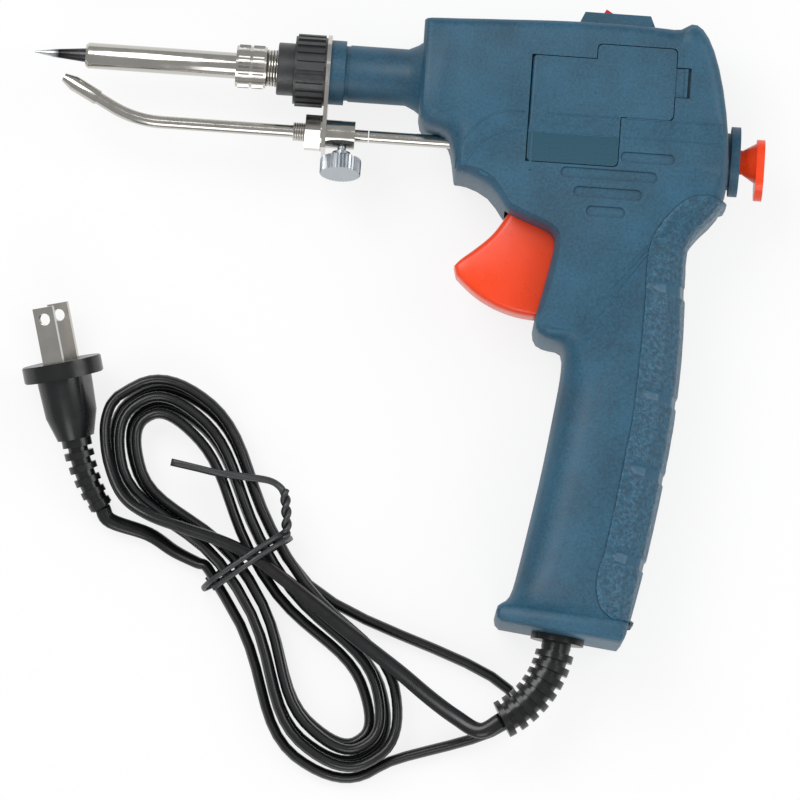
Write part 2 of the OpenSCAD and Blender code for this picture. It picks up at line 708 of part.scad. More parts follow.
// Compression spring along X from the origin
module coil(r, wire, length, turns) {
    steps = turns * curl_rings;
    rise = length - wire;
    polyhedron(
        [for (i = [0:steps]) let (a = 360 * i / curl_rings) for (k = [0:5]) let (
            out = r + wire / 2 * cos(60 * k)
        ) [wire / 2 + rise * i / steps + wire / 2 * sin(60 * k), out * cos(a), out * sin(a)]],
        sweep_faces(steps + 1, 6)
    );
}
curl_rings = 8;
spring_y = pivot[1] - trigger_r * 0.53;
spring_r = 2.6;
spring_wire = 0.7;
spring_turns = 7;
spring_seat = pivot[0] + trigger_r * 0.125;
stop_x = across(0.645);
module trigger_spring() color(steel) placed() translate([spring_seat, spring_y, 0])
    coil(spring_r, spring_wire, stop_x - spring_seat - loose / 3, spring_turns);

// Switch: frame, body with a well, and two blade terminals
frame_t = 1;
well_share = 0.8;
rocker_y = pod_top - frame_t;
rocker_pin_r = 1;
module switch_body() color(black) placed() translate([switch_x, 0, 0]) difference() {
    union() {
        translate([-switch_len / 2, pod_top, -switch_w / 2]) cube([switch_len, frame_t, switch_w]);
        translate([-(switch_len - wall) / 2 + fit, pod_top - switch_deep, -(switch_w - wall / 2) / 2 + fit])
            cube([switch_len - wall - 2 * fit, switch_deep + frame_t / 2, switch_w - wall / 2 - 2 * fit]);
        for (i = [-1, 1]) translate([i * switch_len / 8, pod_top - switch_deep - blade_w / 2, 0])
            cube([plate_t * 0.7, blade_w + over, blade_w * 0.7], center = true);
    }
    translate([-switch_len * well_share / 2, rocker_y - switch_w * 0.42, -switch_w * 0.36])
        cube([switch_len * well_share, switch_w, switch_w * 0.72]);
    translate([0, rocker_y, 0]) cylinder(r = rocker_pin_r + fit, h = 2 * switch_w, center = true, $fn = 32);
}
// Rocker outline from its pivot, as shares of the frame's length
rocker_shares = [[-0.300, 0.010], [-0.233, 0.180], [0, 0.090], [0.233, 0.180], [0.300, 0.010], [0.220, -0.180],
    [0, -0.240], [-0.220, -0.180]];
module switch_rocker() color("#cc3344") placed() translate([switch_x, rocker_y, 0]) rotate([0, 0, -rocker_angle / 2])
{
    translate([0, 0, -switch_w * 0.34]) linear_extrude(switch_w * 0.68)
        polygon([for (q = rocker_shares) q * switch_len]);
    cylinder(r = rocker_pin_r, h = switch_w * 0.84, center = true, $fn = 32);
}

// Solder inlet: funnel in its boss, and the guide tube on to the wheels
funnel_tail = across(0.915);
rim_back = boss_back + funnel_len;
rim_drop = 2.05;
module funnel_rim(h) {
    translate([rim_back - rim_t, 0, 0]) rotate([90, 0, 90]) linear_extrude(h) translate([-rim_drop, 0]) {
        for (i = [-1, 1]) translate([i * (rim_h - rim_w) / 2, 0]) circle(rim_w / 2, $fn = 48);
        square([rim_h - rim_w, rim_w], center = true);
    }
}
module solder_funnel() color(orange) placed() on_path() difference() {
    union() {
        turned([
            [funnel_tail, 0], [funnel_tail, funnel_neck_d / 2], [boss_back + funnel_len * 0.15, funnel_neck_d / 2],
            [rim_back - rim_t + fit, rim_w / 2 - wall / 3], [rim_back - rim_t + fit, 0]
        ]);
        funnel_rim(rim_t);
    }
    rod(inlet_bore / 2, funnel_tail - over, rim_back + over);
    turned([[boss_back + funnel_len / 3, 0], [boss_back + funnel_len / 3, inlet_bore / 2],
        [rim_back + fit, rim_w / 3], [rim_back + fit, 0]]);
}
guide_gap = wheel_d * 0.35;
module inlet_guide() color(steel) placed() on_path() difference() {
    rod(tube_d / 2, wheel_x + guide_gap, funnel_tail - loose);
    rod(tube_bore / 2, 0, housing_len);
}

// Solder tube in front: block behind the bracket plate, stud and nut through it
washer_t = 0.5;
block_back = neck_front + block_len;
stud_front = plate_front - hex_len - washer_t - stud_len;
screw_x = block_back - block_len * 0.42;
// Back end of the front tube, still under its screw when the tube is pulled out
tube_back = screw_x + screw_d / 2 + slide_travel + loose;
tube_join = tube_back + loose;
module rear_feed_tube() color(steel) placed() on_path() difference() {
    rod(tube_d / 2, tube_join, wheel_x - guide_gap);
    rod(tube_bore / 2, tube_join - over, wheel_x);
}
module clamp_block() color(steel) placed() on_path() difference() {
    union() {
        rod(block_d / 2, neck_front, block_back);
        rod(stud_d / 2, stud_front, neck_front + over);
    }
    rod(tube_d / 2 + fit, stud_front - over, block_back + over);
    translate([screw_x, 0, 0]) rotate([90 - knob_lean, 0, 0])
        cylinder(r = screw_d / 2 + fit, h = block_d, $fn = 32);
}
module hex_nut() color(steel) placed() on_path() difference() {
    union() {
        translate([plate_front - washer_t - hex_len, 0, 0]) rotate([0, 90, 0])
            cylinder(r = hex_af / sqrt(3), h = hex_len, $fn = 6);
        rod(hex_af / 2 + washer_t, plate_front - washer_t, plate_front);
    }
    rod(stud_d / 2 + fit, plate_front - 2 * hex_len, plate_front + over);
}
plate_half = nut_d / 2 + loose;
plate_low = -path_drop - stud_d - loose;
module bracket_plate() color(steel) placed() translate([plate_front, 0, 0]) rotate([90, 0, 90]) linear_extrude(plate_t)
    difference() {
        union() {
            circle(plate_half, $fn = 64);
            translate([plate_low, -plate_half]) square([-plate_low, 2 * plate_half]);
        }
        circle(spigot_d / 2 + fit, $fn = 64);
        translate([-path_drop, 0]) circle(stud_d / 2 + fit, $fn = 48);
    }
// Screw down the leaning axis: point, shank, collar and knurled head
head_start = block_d / 2 * 1.9;
module thumb_screw() color("#b9bcc0") placed() on_path() translate([screw_x, 0, 0]) rotate([90 - knob_lean, 0, 0]) {
    translate([0, 0, tube_d / 2 + fit]) cylinder(r = screw_d / 2, h = head_start, $fn = 32);
    translate([0, 0, head_start - block_d / 4]) cylinder(r = screw_collar_d / 2, h = block_d / 4 + over, $fn = 32);
    translate([0, 0, head_start]) linear_extrude(knob_t) {
        circle(knob_d / 2 - loose, $fn = 64);
        for (i = [0:35]) rotate([0, 0, i * 10]) translate([knob_d / 2 - loose, 0]) rotate([0, 0, 45])
            square(2 * loose, center = true);
    }
}
// Front tube: straight, bent up towards the tip, and straight again
straight_front = neck_front - front_run;
end_at = [straight_front - bend_r * sin(bend_a), bend_r * (1 - cos(bend_a))];
module tube_path(r) {
    translate([straight_front, bend_r, 0]) rotate([0, 0, 270 - bend_a])
        rotate_extrude(angle = bend_a, $fn = 96) translate([bend_r, 0]) circle(r + fit / 2, $fn = 48);
    translate([end_at[0], end_at[1], 0]) rotate([0, 0, 180 - bend_a]) rod(r, -loose, bend_tail);
}
module front_tube() color(steel) placed() on_path() difference() {
    union() {
        rod(tube_d / 2, straight_front - loose, tube_back);
        tube_path(tube_d / 2);
    }
    rod(tube_bore / 2, straight_front - loose, tube_back + over);
    tube_path(tube_bore / 2);
}
nozzle_cone = 3.5;
nozzle_grip = 4;
module tube_nozzle() color(steel) placed() on_path()
    translate([end_at[0], end_at[1], 0]) rotate([0, 0, 180 - bend_a]) translate([bend_tail - nozzle_grip, 0, 0])
        turned([
            [0, tube_d / 2 + fit], [0, nozzle_d / 2], [nozzle_len - nozzle_cone, nozzle_d / 2],
            [nozzle_len, nozzle_tip_d / 2], [nozzle_len, wire_d * 0.75], [nozzle_grip + fit, wire_d * 0.75],
            [nozzle_grip + fit, tube_d / 2 + fit]
        ]);

// Barrel
inner_r = heater_d / 2 + fit;
module ribbed_nut() color(black) placed() difference() {
    union() {
        rod(nut_d / 2 - 2 * loose, nut_front, plate_front);
        translate([nut_front + wall / 4, 0, 0]) rotate([90, 0, 90]) linear_extrude(nut_len - wall / 2)
            for (i = [0:23]) rotate([0, 0, i * 15]) translate([nut_d / 2 - 3 * loose, 0])
                square([3 * loose, nut_d / 15]);
    }
    rod(spigot_d / 2 + fit, neck_front - spigot_len - fit, 0);
    rod(neck_bore / 2, nut_front - over, 0);
}
module heater_collar() color(black) placed() turned([
    [flange_front, inner_r + wall / 2], [flange_front, flange_d / 2 - loose], [flange_front + loose, flange_d / 2],
    [nut_front - loose / 3, flange_d / 2], [nut_front - loose / 3, neck_bore / 2 - fit],
    [neck_front + collar_len, neck_bore / 2 - fit], [neck_front + collar_len, inner_r + wall / 2]
]);
module threaded_neck() color(steel) placed() turned([
    [knurl_front + wall, inner_r], [knurl_front + wall, thread_d / 2 - loose], [flange_front, thread_d / 2],
    [flange_front, inner_r + wall / 2 - fit], [nut_front, inner_r + wall / 2 - fit], [nut_front, inner_r]
]);
module knurled_nut() color(steel) placed() difference() {
    union() {
        rod(knurl_d / 2 - loose, knurl_front, thread_front);
        for (x = [knurl_front + knurl_len * 0.08, knurl_front + knurl_len * 0.55]) translate([x, 0, 0])
            rotate([90, 0, 90]) linear_extrude(knurl_len * 0.37)
                for (i = [0:35]) rotate([0, 0, i * 10]) translate([knurl_d / 2 - loose, 0]) rotate([0, 0, 45])
                    square(1.4 * loose, center = true);
    }
    rod(sleeve_d / 2 + fit, knurl_front - over, thread_front + over);
    rod(thread_d / 2 + fit, knurl_front + wall / 2, thread_front + over);
}
shank_d = sleeve_d - 4 * loose;
module barrel_sleeve() color(steel) placed() turned([
    [sleeve_front, tip_d / 2 + fit], [sleeve_front, sleeve_d / 2 - 2 * loose],
    [sleeve_front + 3 * loose, sleeve_d / 2],
    [knurl_front + wall / 2 + fit, sleeve_d / 2], [knurl_front + wall / 2 + fit, thread_d / 2 - loose],
    [knurl_front + wall - fit, thread_d / 2 - loose], [knurl_front + wall - fit, shank_d / 2 + fit],
    [sleeve_front + wall / 2, shank_d / 2 + fit], [sleeve_front + wall / 2, tip_d / 2 + fit]
]);
module soldering_tip() color("#55585c") placed() turned([
    [tip_point, 0], [tip_point + loose / 2, 0.8 * loose], [tip_point + tip_len * 0.36, tip_d * 0.28],
    [sleeve_front, tip_d / 2], [sleeve_front + wall / 2 + fit, tip_d / 2],
    [sleeve_front + wall / 2 + fit, shank_d / 2],
    [sleeve_front + sleeve_len * 0.45, shank_d / 2], [sleeve_front + sleeve_len * 0.45, inner_r],
    [sleeve_front + 2 * wall, inner_r], [sleeve_front + 2 * wall, 0]
]);
module heater_core() color("ivory") placed() rod(heater_d / 2, sleeve_front + 2 * wall + fit, wall);

// Feed: wheel and pinion on their shaft, roller in its arm
module at_wheel() {
    translate([wheel_x, wheel_y, 0]) children();
}
module groove_cut(r) {
    rotate_extrude($fn = 64) translate([r + wire_d * 0.2, 0]) circle(wire_d / 2, $fn = 16);
}
module feed_wheel() color(steel) placed() at_wheel() difference() {
    translate([0, 0, -wheel_w / 2]) linear_extrude(wheel_w)
        polygon([for (i = [0:71]) (wheel_d / 2 - (i % 2) * loose) * [cos(i * 5), sin(i * 5)]]);
    cylinder(r = shaft_d / 2 + fit / 2, h = 2 * wheel_w, center = true, $fn = 32);
    groove_cut(wheel_d / 2);
}
module drive_pinion() color("ivory") placed() at_wheel() difference() {
    translate([0, 0, wheel_w / 2 + fit]) linear_extrude(gear_z - wheel_w / 2 + gear_w) {
        circle(pinion_r - tooth_m * 1.1, $fn = 48);
        for (k = [0:pinion_teeth - 1])
            rotate([0, 0, gear_a + 180 + (k + 0.5) * 360 / pinion_teeth]) tooth(pinion_teeth);
    }
    cylinder(r = shaft_d / 2 + fit / 2, h = 4 * wheel_w, center = true, $fn = 32);
}
module feed_shaft() color(steel) placed() at_wheel()
    cylinder(r = shaft_d / 2, h = 2 * shaft_half, center = true, $fn = 32);
link_r = 2.6;
roller_pin_r = 1;
arm_mid = wheel_x + (arm_x - wheel_x) * 0.6;
arm_a = atan2(arm_y - roller_y, arm_x - wheel_x);
module link(h) {
    len = norm([arm_x - wheel_x, arm_y - roller_y]);
    linear_extrude(h) {
        circle(link_r, $fn = 32);
        translate([len, 0]) circle(link_r, $fn = 32);
        translate([0, -link_r]) square([len, 2 * link_r]);
    }
}
module pressure_arm() color("#3a3d40") placed() translate([wheel_x, roller_y, 0]) rotate([0, 0, arm_a]) difference() {
    union() {
        translate([0, 0, cheek_in]) link(cheek_t);
        translate([0, 0, -cheek_in - cheek_t]) link(cheek_t);
        translate([roller_d / 2 + loose, -link_r * 0.4, -cheek_in])
            cube([roller_d * 0.8, link_r * 1.4, 2 * cheek_in]);
    }
    cylinder(r = roller_pin_r + fit, h = 4 * cheek_in, center = true, $fn = 32);
    translate([norm([arm_x - wheel_x, arm_y - roller_y]), 0, 0])
        cylinder(r = shaft_d / 2 + fit, h = 4 * cheek_in, center = true, $fn = 32);
}
module pressure_arm_pin() color(steel) placed() translate([arm_x, arm_y, 0])
    cylinder(r = shaft_d / 2, h = 2 * shaft_half, center = true, $fn = 32);
module pressure_wheel() color(steel) placed() translate([wheel_x, roller_y, 0]) difference() {
    cylinder(r = roller_d / 2, h = wheel_w, center = true, $fn = 48);
    cylinder(r = roller_pin_r + fit, h = 2 * wheel_w, center = true, $fn = 32);
    groove_cut(roller_d / 2);
}
module pressure_wheel_pin() color(steel) placed() translate([wheel_x, roller_y, 0])
    cylinder(r = roller_pin_r, h = 2 * (cheek_in + cheek_t), center = true, $fn = 32);
shelf_y = lift(0.18);
push_r = 2;
push_wire = 0.6;
spring_foot = roller_y + (arm_mid - wheel_x) * tan(arm_a) + link_r / cos(arm_a);
module pressure_spring() color(steel) placed() translate([arm_mid, spring_foot + fit, 0]) rotate([0, 0, 90])
    coil(push_r, push_wire, shelf_y - spring_foot - 2 * fit, spring_turns);

// Wiring in the grip: terminal block, inner end of the lead and its clamp
clamp_y = 9;
clamp_w = 16;
clamp_h = 5;
clamp_screw = 8;
inner_run = base_y * -0.225;
module terminal_block() color("ivory") placed() base_frame() translate([0, inner_run + fit, 0]) difference() {
    translate([-blade_w, 0, -blade_w]) cube([2 * blade_w, 3 * blade_w, 2 * blade_w]);
    for (i = [-1, 1]) for (k = [1, 2]) translate([i * blade_w / 2, k * blade_w, 0])
        cylinder(r = screw_r, h = 2 * blade_w, $fn = 32);
}
module inner_lead() color(black) placed() base_frame() translate([0, guard_in, 0]) rotate([-90, 0, 0])
    linear_extrude(inner_run - guard_in) flat_section();
module flat_section() {
    for (i = [-1, 1]) translate([i * (cord_w - cord_t) / 2, 0]) circle(cord_t / 2, $fn = 24);
    square([cord_w - cord_t, cord_t], center = true);
}
module cord_clamp() color(steel) placed() base_frame() {
    translate([-clamp_w / 2, clamp_y - clamp_h / 2, cord_t / 2 + fit]) cube([clamp_w, clamp_h, wall]);
    for (i = [-1, 1]) translate([i * clamp_w / 3, clamp_y, 0]) {
        translate([0, 0, -clamp_screw]) cylinder(r = screw_r, h = clamp_screw + wall, $fn = 32);
        translate([0, 0, cord_t / 2 + fit + wall - over / 2]) cylinder(r = head_r, h = head_t, $fn = 32);
    }
}

// Guard: flange on the base, bent boot with open rings
guard_in = wall * 1.8;
flange_t = 2;
boot_lead = 1.5;
rings = 8;
core_r = guard_d / 2 * 0.74;
module bent(r, from_a, turn) {
    rotate([0, 0, -from_a - turn]) rotate_extrude(angle = turn, $fn = 96)
        translate([guard_bend_r, 0]) circle(r, $fn = 48);
}
module cord_guard() color(black) placed() base_frame() {
    rotate([90, 0, 0]) {
        cylinder(r = guard_flange_d / 2, h = flange_t, $fn = 64);
        translate([0, 0, -guard_in]) cylinder(r = guard_neck_r, h = guard_in + flange_t + boot_lead, $fn = 48);
        translate([0, 0, -guard_in]) cylinder(r = guard_neck_r + wall / 2, h = guard_in - wall * 1.35, $fn = 48);
        translate([0, 0, flange_t]) cylinder(r = core_r + loose / 2, h = boot_lead + loose, $fn = 48);
    }
    translate([-guard_bend_r, -flange_t - boot_lead, 0]) {
        bent(core_r, 0, guard_turn);
        for (i = [0:rings - 1]) bent(guard_d / 2, guard_turn * (i + 0.45) / rings, guard_turn * 0.55 / rings);
    }
}
// Lead on the table. Floor frame: gun axes, with heights above the table.
module on_floor() {
    translate([-rest_x, 0, 0]) children();
}
hank_at = [-41, -147];
hank_a = -54.5;
function turn_z(a, p) = [p[0] * cos(a) - p[1] * sin(a), p[0] * sin(a) + p[1] * cos(a), p[2]];
// From the hank's axes, along and across it, to the floor frame
function from_hank(p) = turn_z(hank_a, p) + [hank_at[0], hank_at[1], 0];
// Hank of flat cord on its edge: loops spiral in on the table and out again on top of them
hank_end = 4.5;
hank_turn = 2.25;
loop_rings = 24;
hank_mid = 5;
hank_half = 69;
end_step = 5;
waist_step = 4.4;
lobe_step = 5.8;
waist_half = 2.75 * waist_step;
lobe_swell = 14;
lobe_lean = 3.5;
lobe_start = 0.74;
blunt = 0.8;
layer_low = cord_w / 2 + loose;
layer_rise = cord_w + 2 * loose;
waist_rise = 0.9;
climb_run = 0.22;
big_out = 28;
big_along = 22;
function lobe(c) = pow(sin(90 * min(1, abs(c) / lobe_start)), 2);
function blunted(x) = sign(x) * pow(abs(x), blunt);
function climb(t) = let (x = min(1, max(0, (t - hank_turn) / climb_run + 0.5))) x * x * (3 - 2 * x);
function big(t) = t > 0 && t < 0.25 ? pow(sin(720 * t), 2) : 0;
function hank_point(t) = let (
    a = 360 * t, c = cos(a), g = lobe(c), s = t < hank_turn ? t + 0.25 : 2 * hank_turn + 0.25 - t
) [
    hank_mid + (hank_half - end_step * s) * blunted(c) + big_along * big(t),
    (waist_half + lobe_swell * g - mix(waist_step, lobe_step, g) * s) * blunted(sin(a))
        - (c < 0 ? lobe_lean * g : 0) + big_out * big(t),
    layer_low + waist_rise * (1 - g) + layer_rise * climb(t)
];
hank_last = loop_rings * (hank_end + 0.25);
hank_local = [for (i = [0:hank_last]) hank_point(i / loop_rings - 0.25)];
hank_points = [for (p = concat(
    [hank_local[0] - [cord_w, 0, 0]], hank_local, [hank_local[hank_last] - [0, cord_w, 0]]
)) from_hank(p)];
// Least gap between turns, measured at four places between each two rings
fine = [for (i = [0:4 * hank_last]) hank_point(i / loop_rings / 4 - 0.25)];
function apart(p, q) = max(norm([p[0] - q[0], p[1] - q[1]]) - cord_t, abs(p[2] - q[2]) - cord_w);
function least_gap() = min([for (i = [0:4:len(fine) - 1]) for (j = [i + 2 * loop_rings:len(fine) - 1])
    apart(fine[i], fine[j])]);
function run_length(p, i = 1) = i >= len(p) ? 0 : norm(p[i] - p[i - 1]) + run_length(p, i + 1);
module cord_hank() color(black) on_floor() {
    echo(least_gap = least_gap(), hank_length = run_length(hank_points));
    sweep(hank_points, cord_w / 2, cord_t / 2, 6, 90, 90);
}

// Plug, resting on its flange, with its blades up and its boot down on the table
plug_turn = 105;
plug_tilt = 9.5;
plug_roll = -20;
plug_at = [-101, -94.1, plug_w / 2 + loose];
blade_gap = 12.7;
blade_t = 1.5;
blade_hole = 3.6;
flange_half = 2.5;
body_len = 21;
body_w = 14.6;
body_off = 3;
boot_r = 52.8;
boot_turn = 21.7;
boot_start = 4.5;
boot_thin = 3;
boot_ribs = 5;
module on_plug() {
    translate(plug_at) rotate([0, 0, plug_turn]) rotate([0, -plug_tilt, 0]) children();
}
function from_plug(p) = turn_z(plug_turn, [p[0] * cos(plug_tilt), p[1], p[0] * sin(plug_tilt)]) + plug_at;
module boot_arc(r, from_a, turn) {
    translate([-flange_half - body_len, -boot_r, 0]) rotate([0, 0, 90 + from_a])
        rotate_extrude(angle = turn, $fn = 96) translate([boot_r, 0]) circle(r, $fn = 32);
}
module plug_body() color(black) on_floor() on_plug() {
    rotate([0, 90, 0]) {
        cylinder(r = plug_w / 2 - loose, h = 2 * flange_half, center = true, $fn = 64);
        cylinder(r = plug_w / 2, h = 2 * flange_half - 2 * loose, center = true, $fn = 64);
    }
    rotate([plug_roll, 0, 0]) hull() for (i = [-1, 1]) translate([0, 0, i * body_off]) rotate([0, -90, 0]) {
        cylinder(r1 = body_w / 2, r2 = body_w / 2 - 2 * loose, h = body_len * 0.65, $fn = 32);
        cylinder(r = boot_start, h = body_len, $fn = 32);
    }
    translate([-flange_half, 0, 0]) rotate([0, -90, 0]) cylinder(r = boot_start, h = body_len + fit, $fn = 32);
    boot_arc(boot_thin, 0, boot_turn);
    for (i = [0:boot_ribs - 1])
        boot_arc(mix(boot_start, boot_thin + loose, i / boot_ribs), boot_turn * (i + 0.4) / boot_ribs,
            boot_turn * 0.5 / boot_ribs);
}
module plug_blades() color("#c9a54a") on_floor() on_plug() rotate([plug_roll, 0, 0])
    for (i = [-1, 1]) translate([flange_half, 0, i * blade_gap / 2]) difference() {
        translate([0, -blade_w / 2, -blade_t / 2]) cube([blade_len, blade_w, blade_t]);
        translate([blade_len - blade_hole, 0, 0])
            cylinder(r = blade_hole / 2, h = 2 * blade_t, center = true, $fn = 32);
    }

// Free stretches. The tail runs from the boot of the plug to the hank, in the floor frame;
// the lead runs from the hank to the guard, in the hank's axes.
boot_out = [-flange_half - body_len - boot_r * sin(boot_turn), -boot_r * (1 - cos(boot_turn))];
boot_way = [-cos(boot_turn), -sin(boot_turn)];
tail_route = concat(
    [from_plug(boot_out), from_plug(boot_out + boot_way * cord_w)],
    [[-72, -141, 3.2], [-64, -145.5, 3], [-57, -148.5, 3.4]],
    [hank_points[0] - (hank_points[1] - hank_points[0]) * 1.2, hank_points[0]]
);
guard_out = [
    -guard_bend_r * (1 - cos(guard_turn)), -flange_t - boot_lead - guard_bend_r * sin(guard_turn), housing_t / 2
];
guard_way = [-sin(guard_turn), -cos(guard_turn), 0];
function from_base(p) = turn_z(base_a, p) + [base_x, base_y, 0];
lead_points = [
    [-61, -12.2, 8.6], [-56, -16.8, 8.8], [-47, -20.9, 9.4], [-36, -22.5, 11.6], [-27, -19, 13.6], [-18, -12, 13.9],
    [-8, -4, 14], [1, 1.5, 14], [11, 5.5, 13.9], [21, 9, 13.8], [31, 12.5, 13.7], [42, 16.5, 13.8], [53, 20.5, 14.5],
    [64, 24, 16], [73, 27.5, 17.8]
];
lead_route = concat(
    [hank_points[len(hank_points) - 1]],
    [for (p = lead_points) from_hank(p)],
    [from_base(guard_out + guard_way * cord_w * 1.5), from_base(guard_out)]
);
module cord_tail() color(black) on_floor() {
    echo(tail_length = run_length(tail_route));
    sweep(tail_route, cord_w / 2, cord_t / 2, 8, 0, 90);
}
module cord_lead() color(black) on_floor() {
    echo(lead_length = run_length(lead_route));
    sweep(lead_route, cord_w / 2, cord_t / 2, 8, 90, 0);
}

// Twist tie: band round the waist, twisted knot beside it, and a free end over the loops
tie_w = 3.2;
tie_t = 0.8;
tie_crown = 14;
tie_knot = [[0.5, 11.4, 10.2], [-2, 14, 11.6], [-7, 17, 12.6], [-12, 19.5, 12.4]];
tie_end = [[-10.6, 18.8, 12.5], [-13.5, 18.9, 12.9], [-17, 17, 13.4], [-22, 11, 13.8], [-27, 5, 13.8], [-32, 0, 13.6],
    [-37, -5, 13.2]];
module tie_outline(grow) {
    low = layer_low + waist_rise - cord_w / 2 - fit;
    high = low + 2 * cord_w + 3 * loose;
    far = waist_half - waist_step / 2 + cord_t / 2 + fit;
    crown = tie_crown + cord_t / 2 + fit;
    offset(r = grow, $fn = 16) polygon([
        [-waist_half - cord_t / 2 - fit, low], [far, low], [far, high], [cord_w, crown], [-cord_t, crown],
        [-waist_half - cord_t / 2 - fit, high]
    ]);
}
module twist_tie() color(black) on_floor() {
    translate([hank_at[0], hank_at[1], 0]) rotate([0, 0, hank_a]) translate([-tie_w / 2, 0, 0])
        rotate([90, 0, 90]) linear_extrude(tie_w) difference() {
            tie_outline(tie_t);
            tie_outline(0);
        }
    sweep([for (p = tie_knot) from_hank(p)], tie_w / 2, tie_w / 2, 8, 0, 360);
    sweep([for (p = tie_end) from_hank(p)], tie_w * 0.42, tie_t / 2, 8, 0, 0);
}

left_housing();
right_housing();
housing_screws();
feed_door();
door_hinge_pin();
trigger();
trigger_pin();
trigger_spring();
switch_body();
switch_rocker();
solder_funnel();
inlet_guide();
rear_feed_tube();
clamp_block();
bracket_plate();
hex_nut();
thumb_screw();
front_tube();
tube_nozzle();
ribbed_nut();
heater_collar();
threaded_neck();
knurled_nut();
barrel_sleeve();
soldering_tip();
heater_core();
feed_wheel();
drive_pinion();
feed_shaft();
pressure_arm();
pressure_arm_pin();
pressure_wheel();
pressure_wheel_pin();
pressure_spring();
terminal_block();
cord_clamp();
inner_lead();
cord_guard();
cord_lead();
cord_hank();
cord_tail();
plug_body();
plug_blades();
twist_tie();
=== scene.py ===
"""Solder feed soldering gun on its side, with its mains lead tied in a hank."""

import json
import math

import bpy
from mathutils import Matrix, Vector
from mathutils.bvhtree import BVHTree


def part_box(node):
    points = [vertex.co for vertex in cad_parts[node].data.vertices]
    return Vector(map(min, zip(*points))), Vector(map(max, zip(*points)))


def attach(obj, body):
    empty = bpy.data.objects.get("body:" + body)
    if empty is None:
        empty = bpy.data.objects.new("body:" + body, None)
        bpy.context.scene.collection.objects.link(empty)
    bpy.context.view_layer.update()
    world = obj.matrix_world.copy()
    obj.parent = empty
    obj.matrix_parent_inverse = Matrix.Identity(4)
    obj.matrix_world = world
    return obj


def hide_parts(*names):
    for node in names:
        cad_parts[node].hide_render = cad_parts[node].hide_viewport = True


bl_info = {
    "name": "Solder feed soldering gun",
    "version": (1, 0, 0),
    "blender": (4, 5, 0),
    "location": "View3D > Sidebar > Soldering gun",
    "description": "Finishes, lead, tie and stage for a trigger-fed soldering gun",
    "category": "Add Mesh",
}

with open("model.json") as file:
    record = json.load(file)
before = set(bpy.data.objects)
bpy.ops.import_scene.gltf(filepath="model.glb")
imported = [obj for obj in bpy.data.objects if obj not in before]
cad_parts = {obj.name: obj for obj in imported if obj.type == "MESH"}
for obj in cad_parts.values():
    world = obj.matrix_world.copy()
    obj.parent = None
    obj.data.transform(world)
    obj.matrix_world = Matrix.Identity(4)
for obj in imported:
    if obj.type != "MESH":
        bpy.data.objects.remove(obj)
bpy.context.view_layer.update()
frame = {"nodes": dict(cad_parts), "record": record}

# One millimetre in the scene's metres
MM = 0.001


def linear(hex_colour):
    """sRGB hex to linear red, green and blue."""
    channels = [int(hex_colour[i : i + 2], 16) / 255 for i in (1, 3, 5)]
    return tuple(c / 12.92 if c <= 0.04045 else ((c + 0.055) / 1.055) ** 2.4 for c in channels)


def colour(name, hex_colour, description):
    """A colour that the panel shows, written as sRGB hex."""
    return bpy.props.FloatVectorProperty(
        name=name, description=description, subtype="COLOR", size=3, min=0, max=1, default=linear(hex_colour)
    )


def length(name, millimetres, description):
    """A length that the panel shows, written in millimetres."""
    return bpy.props.FloatProperty(
        name=name, description=description, unit="LENGTH", min=0, default=millimetres * MM
    )


def angle(name, degrees, description):
    """An angle that the panel shows, written in degrees."""
    return bpy.props.FloatProperty(
        name=name, description=description, subtype="ANGLE", default=math.radians(degrees)
    )


class GunFinishes(bpy.types.PropertyGroup):
    """Colours of the gun and its lead."""

    nylon: colour("Housing", "#1f5068", "Moulded nylon of the housing and the door")
    acetal: colour("Trigger", "#ff4717", "Moulded acetal of the trigger and the funnel")
    rocker: colour("Rocker", "#d02c2a", "Clear red rocker of the switch")
    phenolic: colour("Ribbed nut", "#2b2c2e", "Moulded phenolic of the ribbed nut and the switch")
    pvc: colour("Lead", "#121315", "Black PVC of the lead, guard and plug")
    nickel: colour("Nickel", "#c9c6c0", "Bright nickel plate")
    steel: colour("Steel", "#b4b6b8", "Turned and drawn steel")
    zinc: colour("Zinc", "#b7bdc2", "Zinc plate with a thin clear passivation")
    iron: colour("Tip", "#4b4a4c", "Iron plate, browned by heat")
    tinned: colour("Tinned point", "#c9cccf", "Tinned end of the tip")
    alumina: colour("Ceramic", "#e8e2d2", "Fired alumina of the heater")
    natural: colour("Natural nylon", "#dcd6c2", "Natural nylon of the pinion and terminal block")


class GunSizes(bpy.types.PropertyGroup):
    """Sizes of the pieces that are made here, and the camera."""

    cord_width: length("Lead width", 4.8, "Width of the flat lead")
    cord_thickness: length("Lead thickness", 3.2, "Thickness of the flat lead")
    cord_length: length("Lead length", 1612, "Length of the lead, from the guard to the plug")
    tie_width: length("Tie width", 3.0, "Width of the twist tie")
    tie_thickness: length("Tie thickness", 0.8, "Thickness of the twist tie")
    spark: length("Spark grain", 0.8, "Grain of the spark-eroded mould, coarse enough to show")
    camera_distance: length("Camera distance", 2200, "From the camera to the middle of the gun")
    view_width: length("View width", 238.8, "Width of the picture at the height of the barrel")
    camera_elevation: angle("Camera elevation", 84, "Height of the camera above the horizon")
    camera_roll: angle("Camera roll", 4, "Roll of the camera")


def finishes():
    """The gun's colours."""
    return bpy.context.scene.gun_finishes


def sizes():
    """The gun's sizes and the camera's."""
    return bpy.context.scene.gun_sizes


# Materials

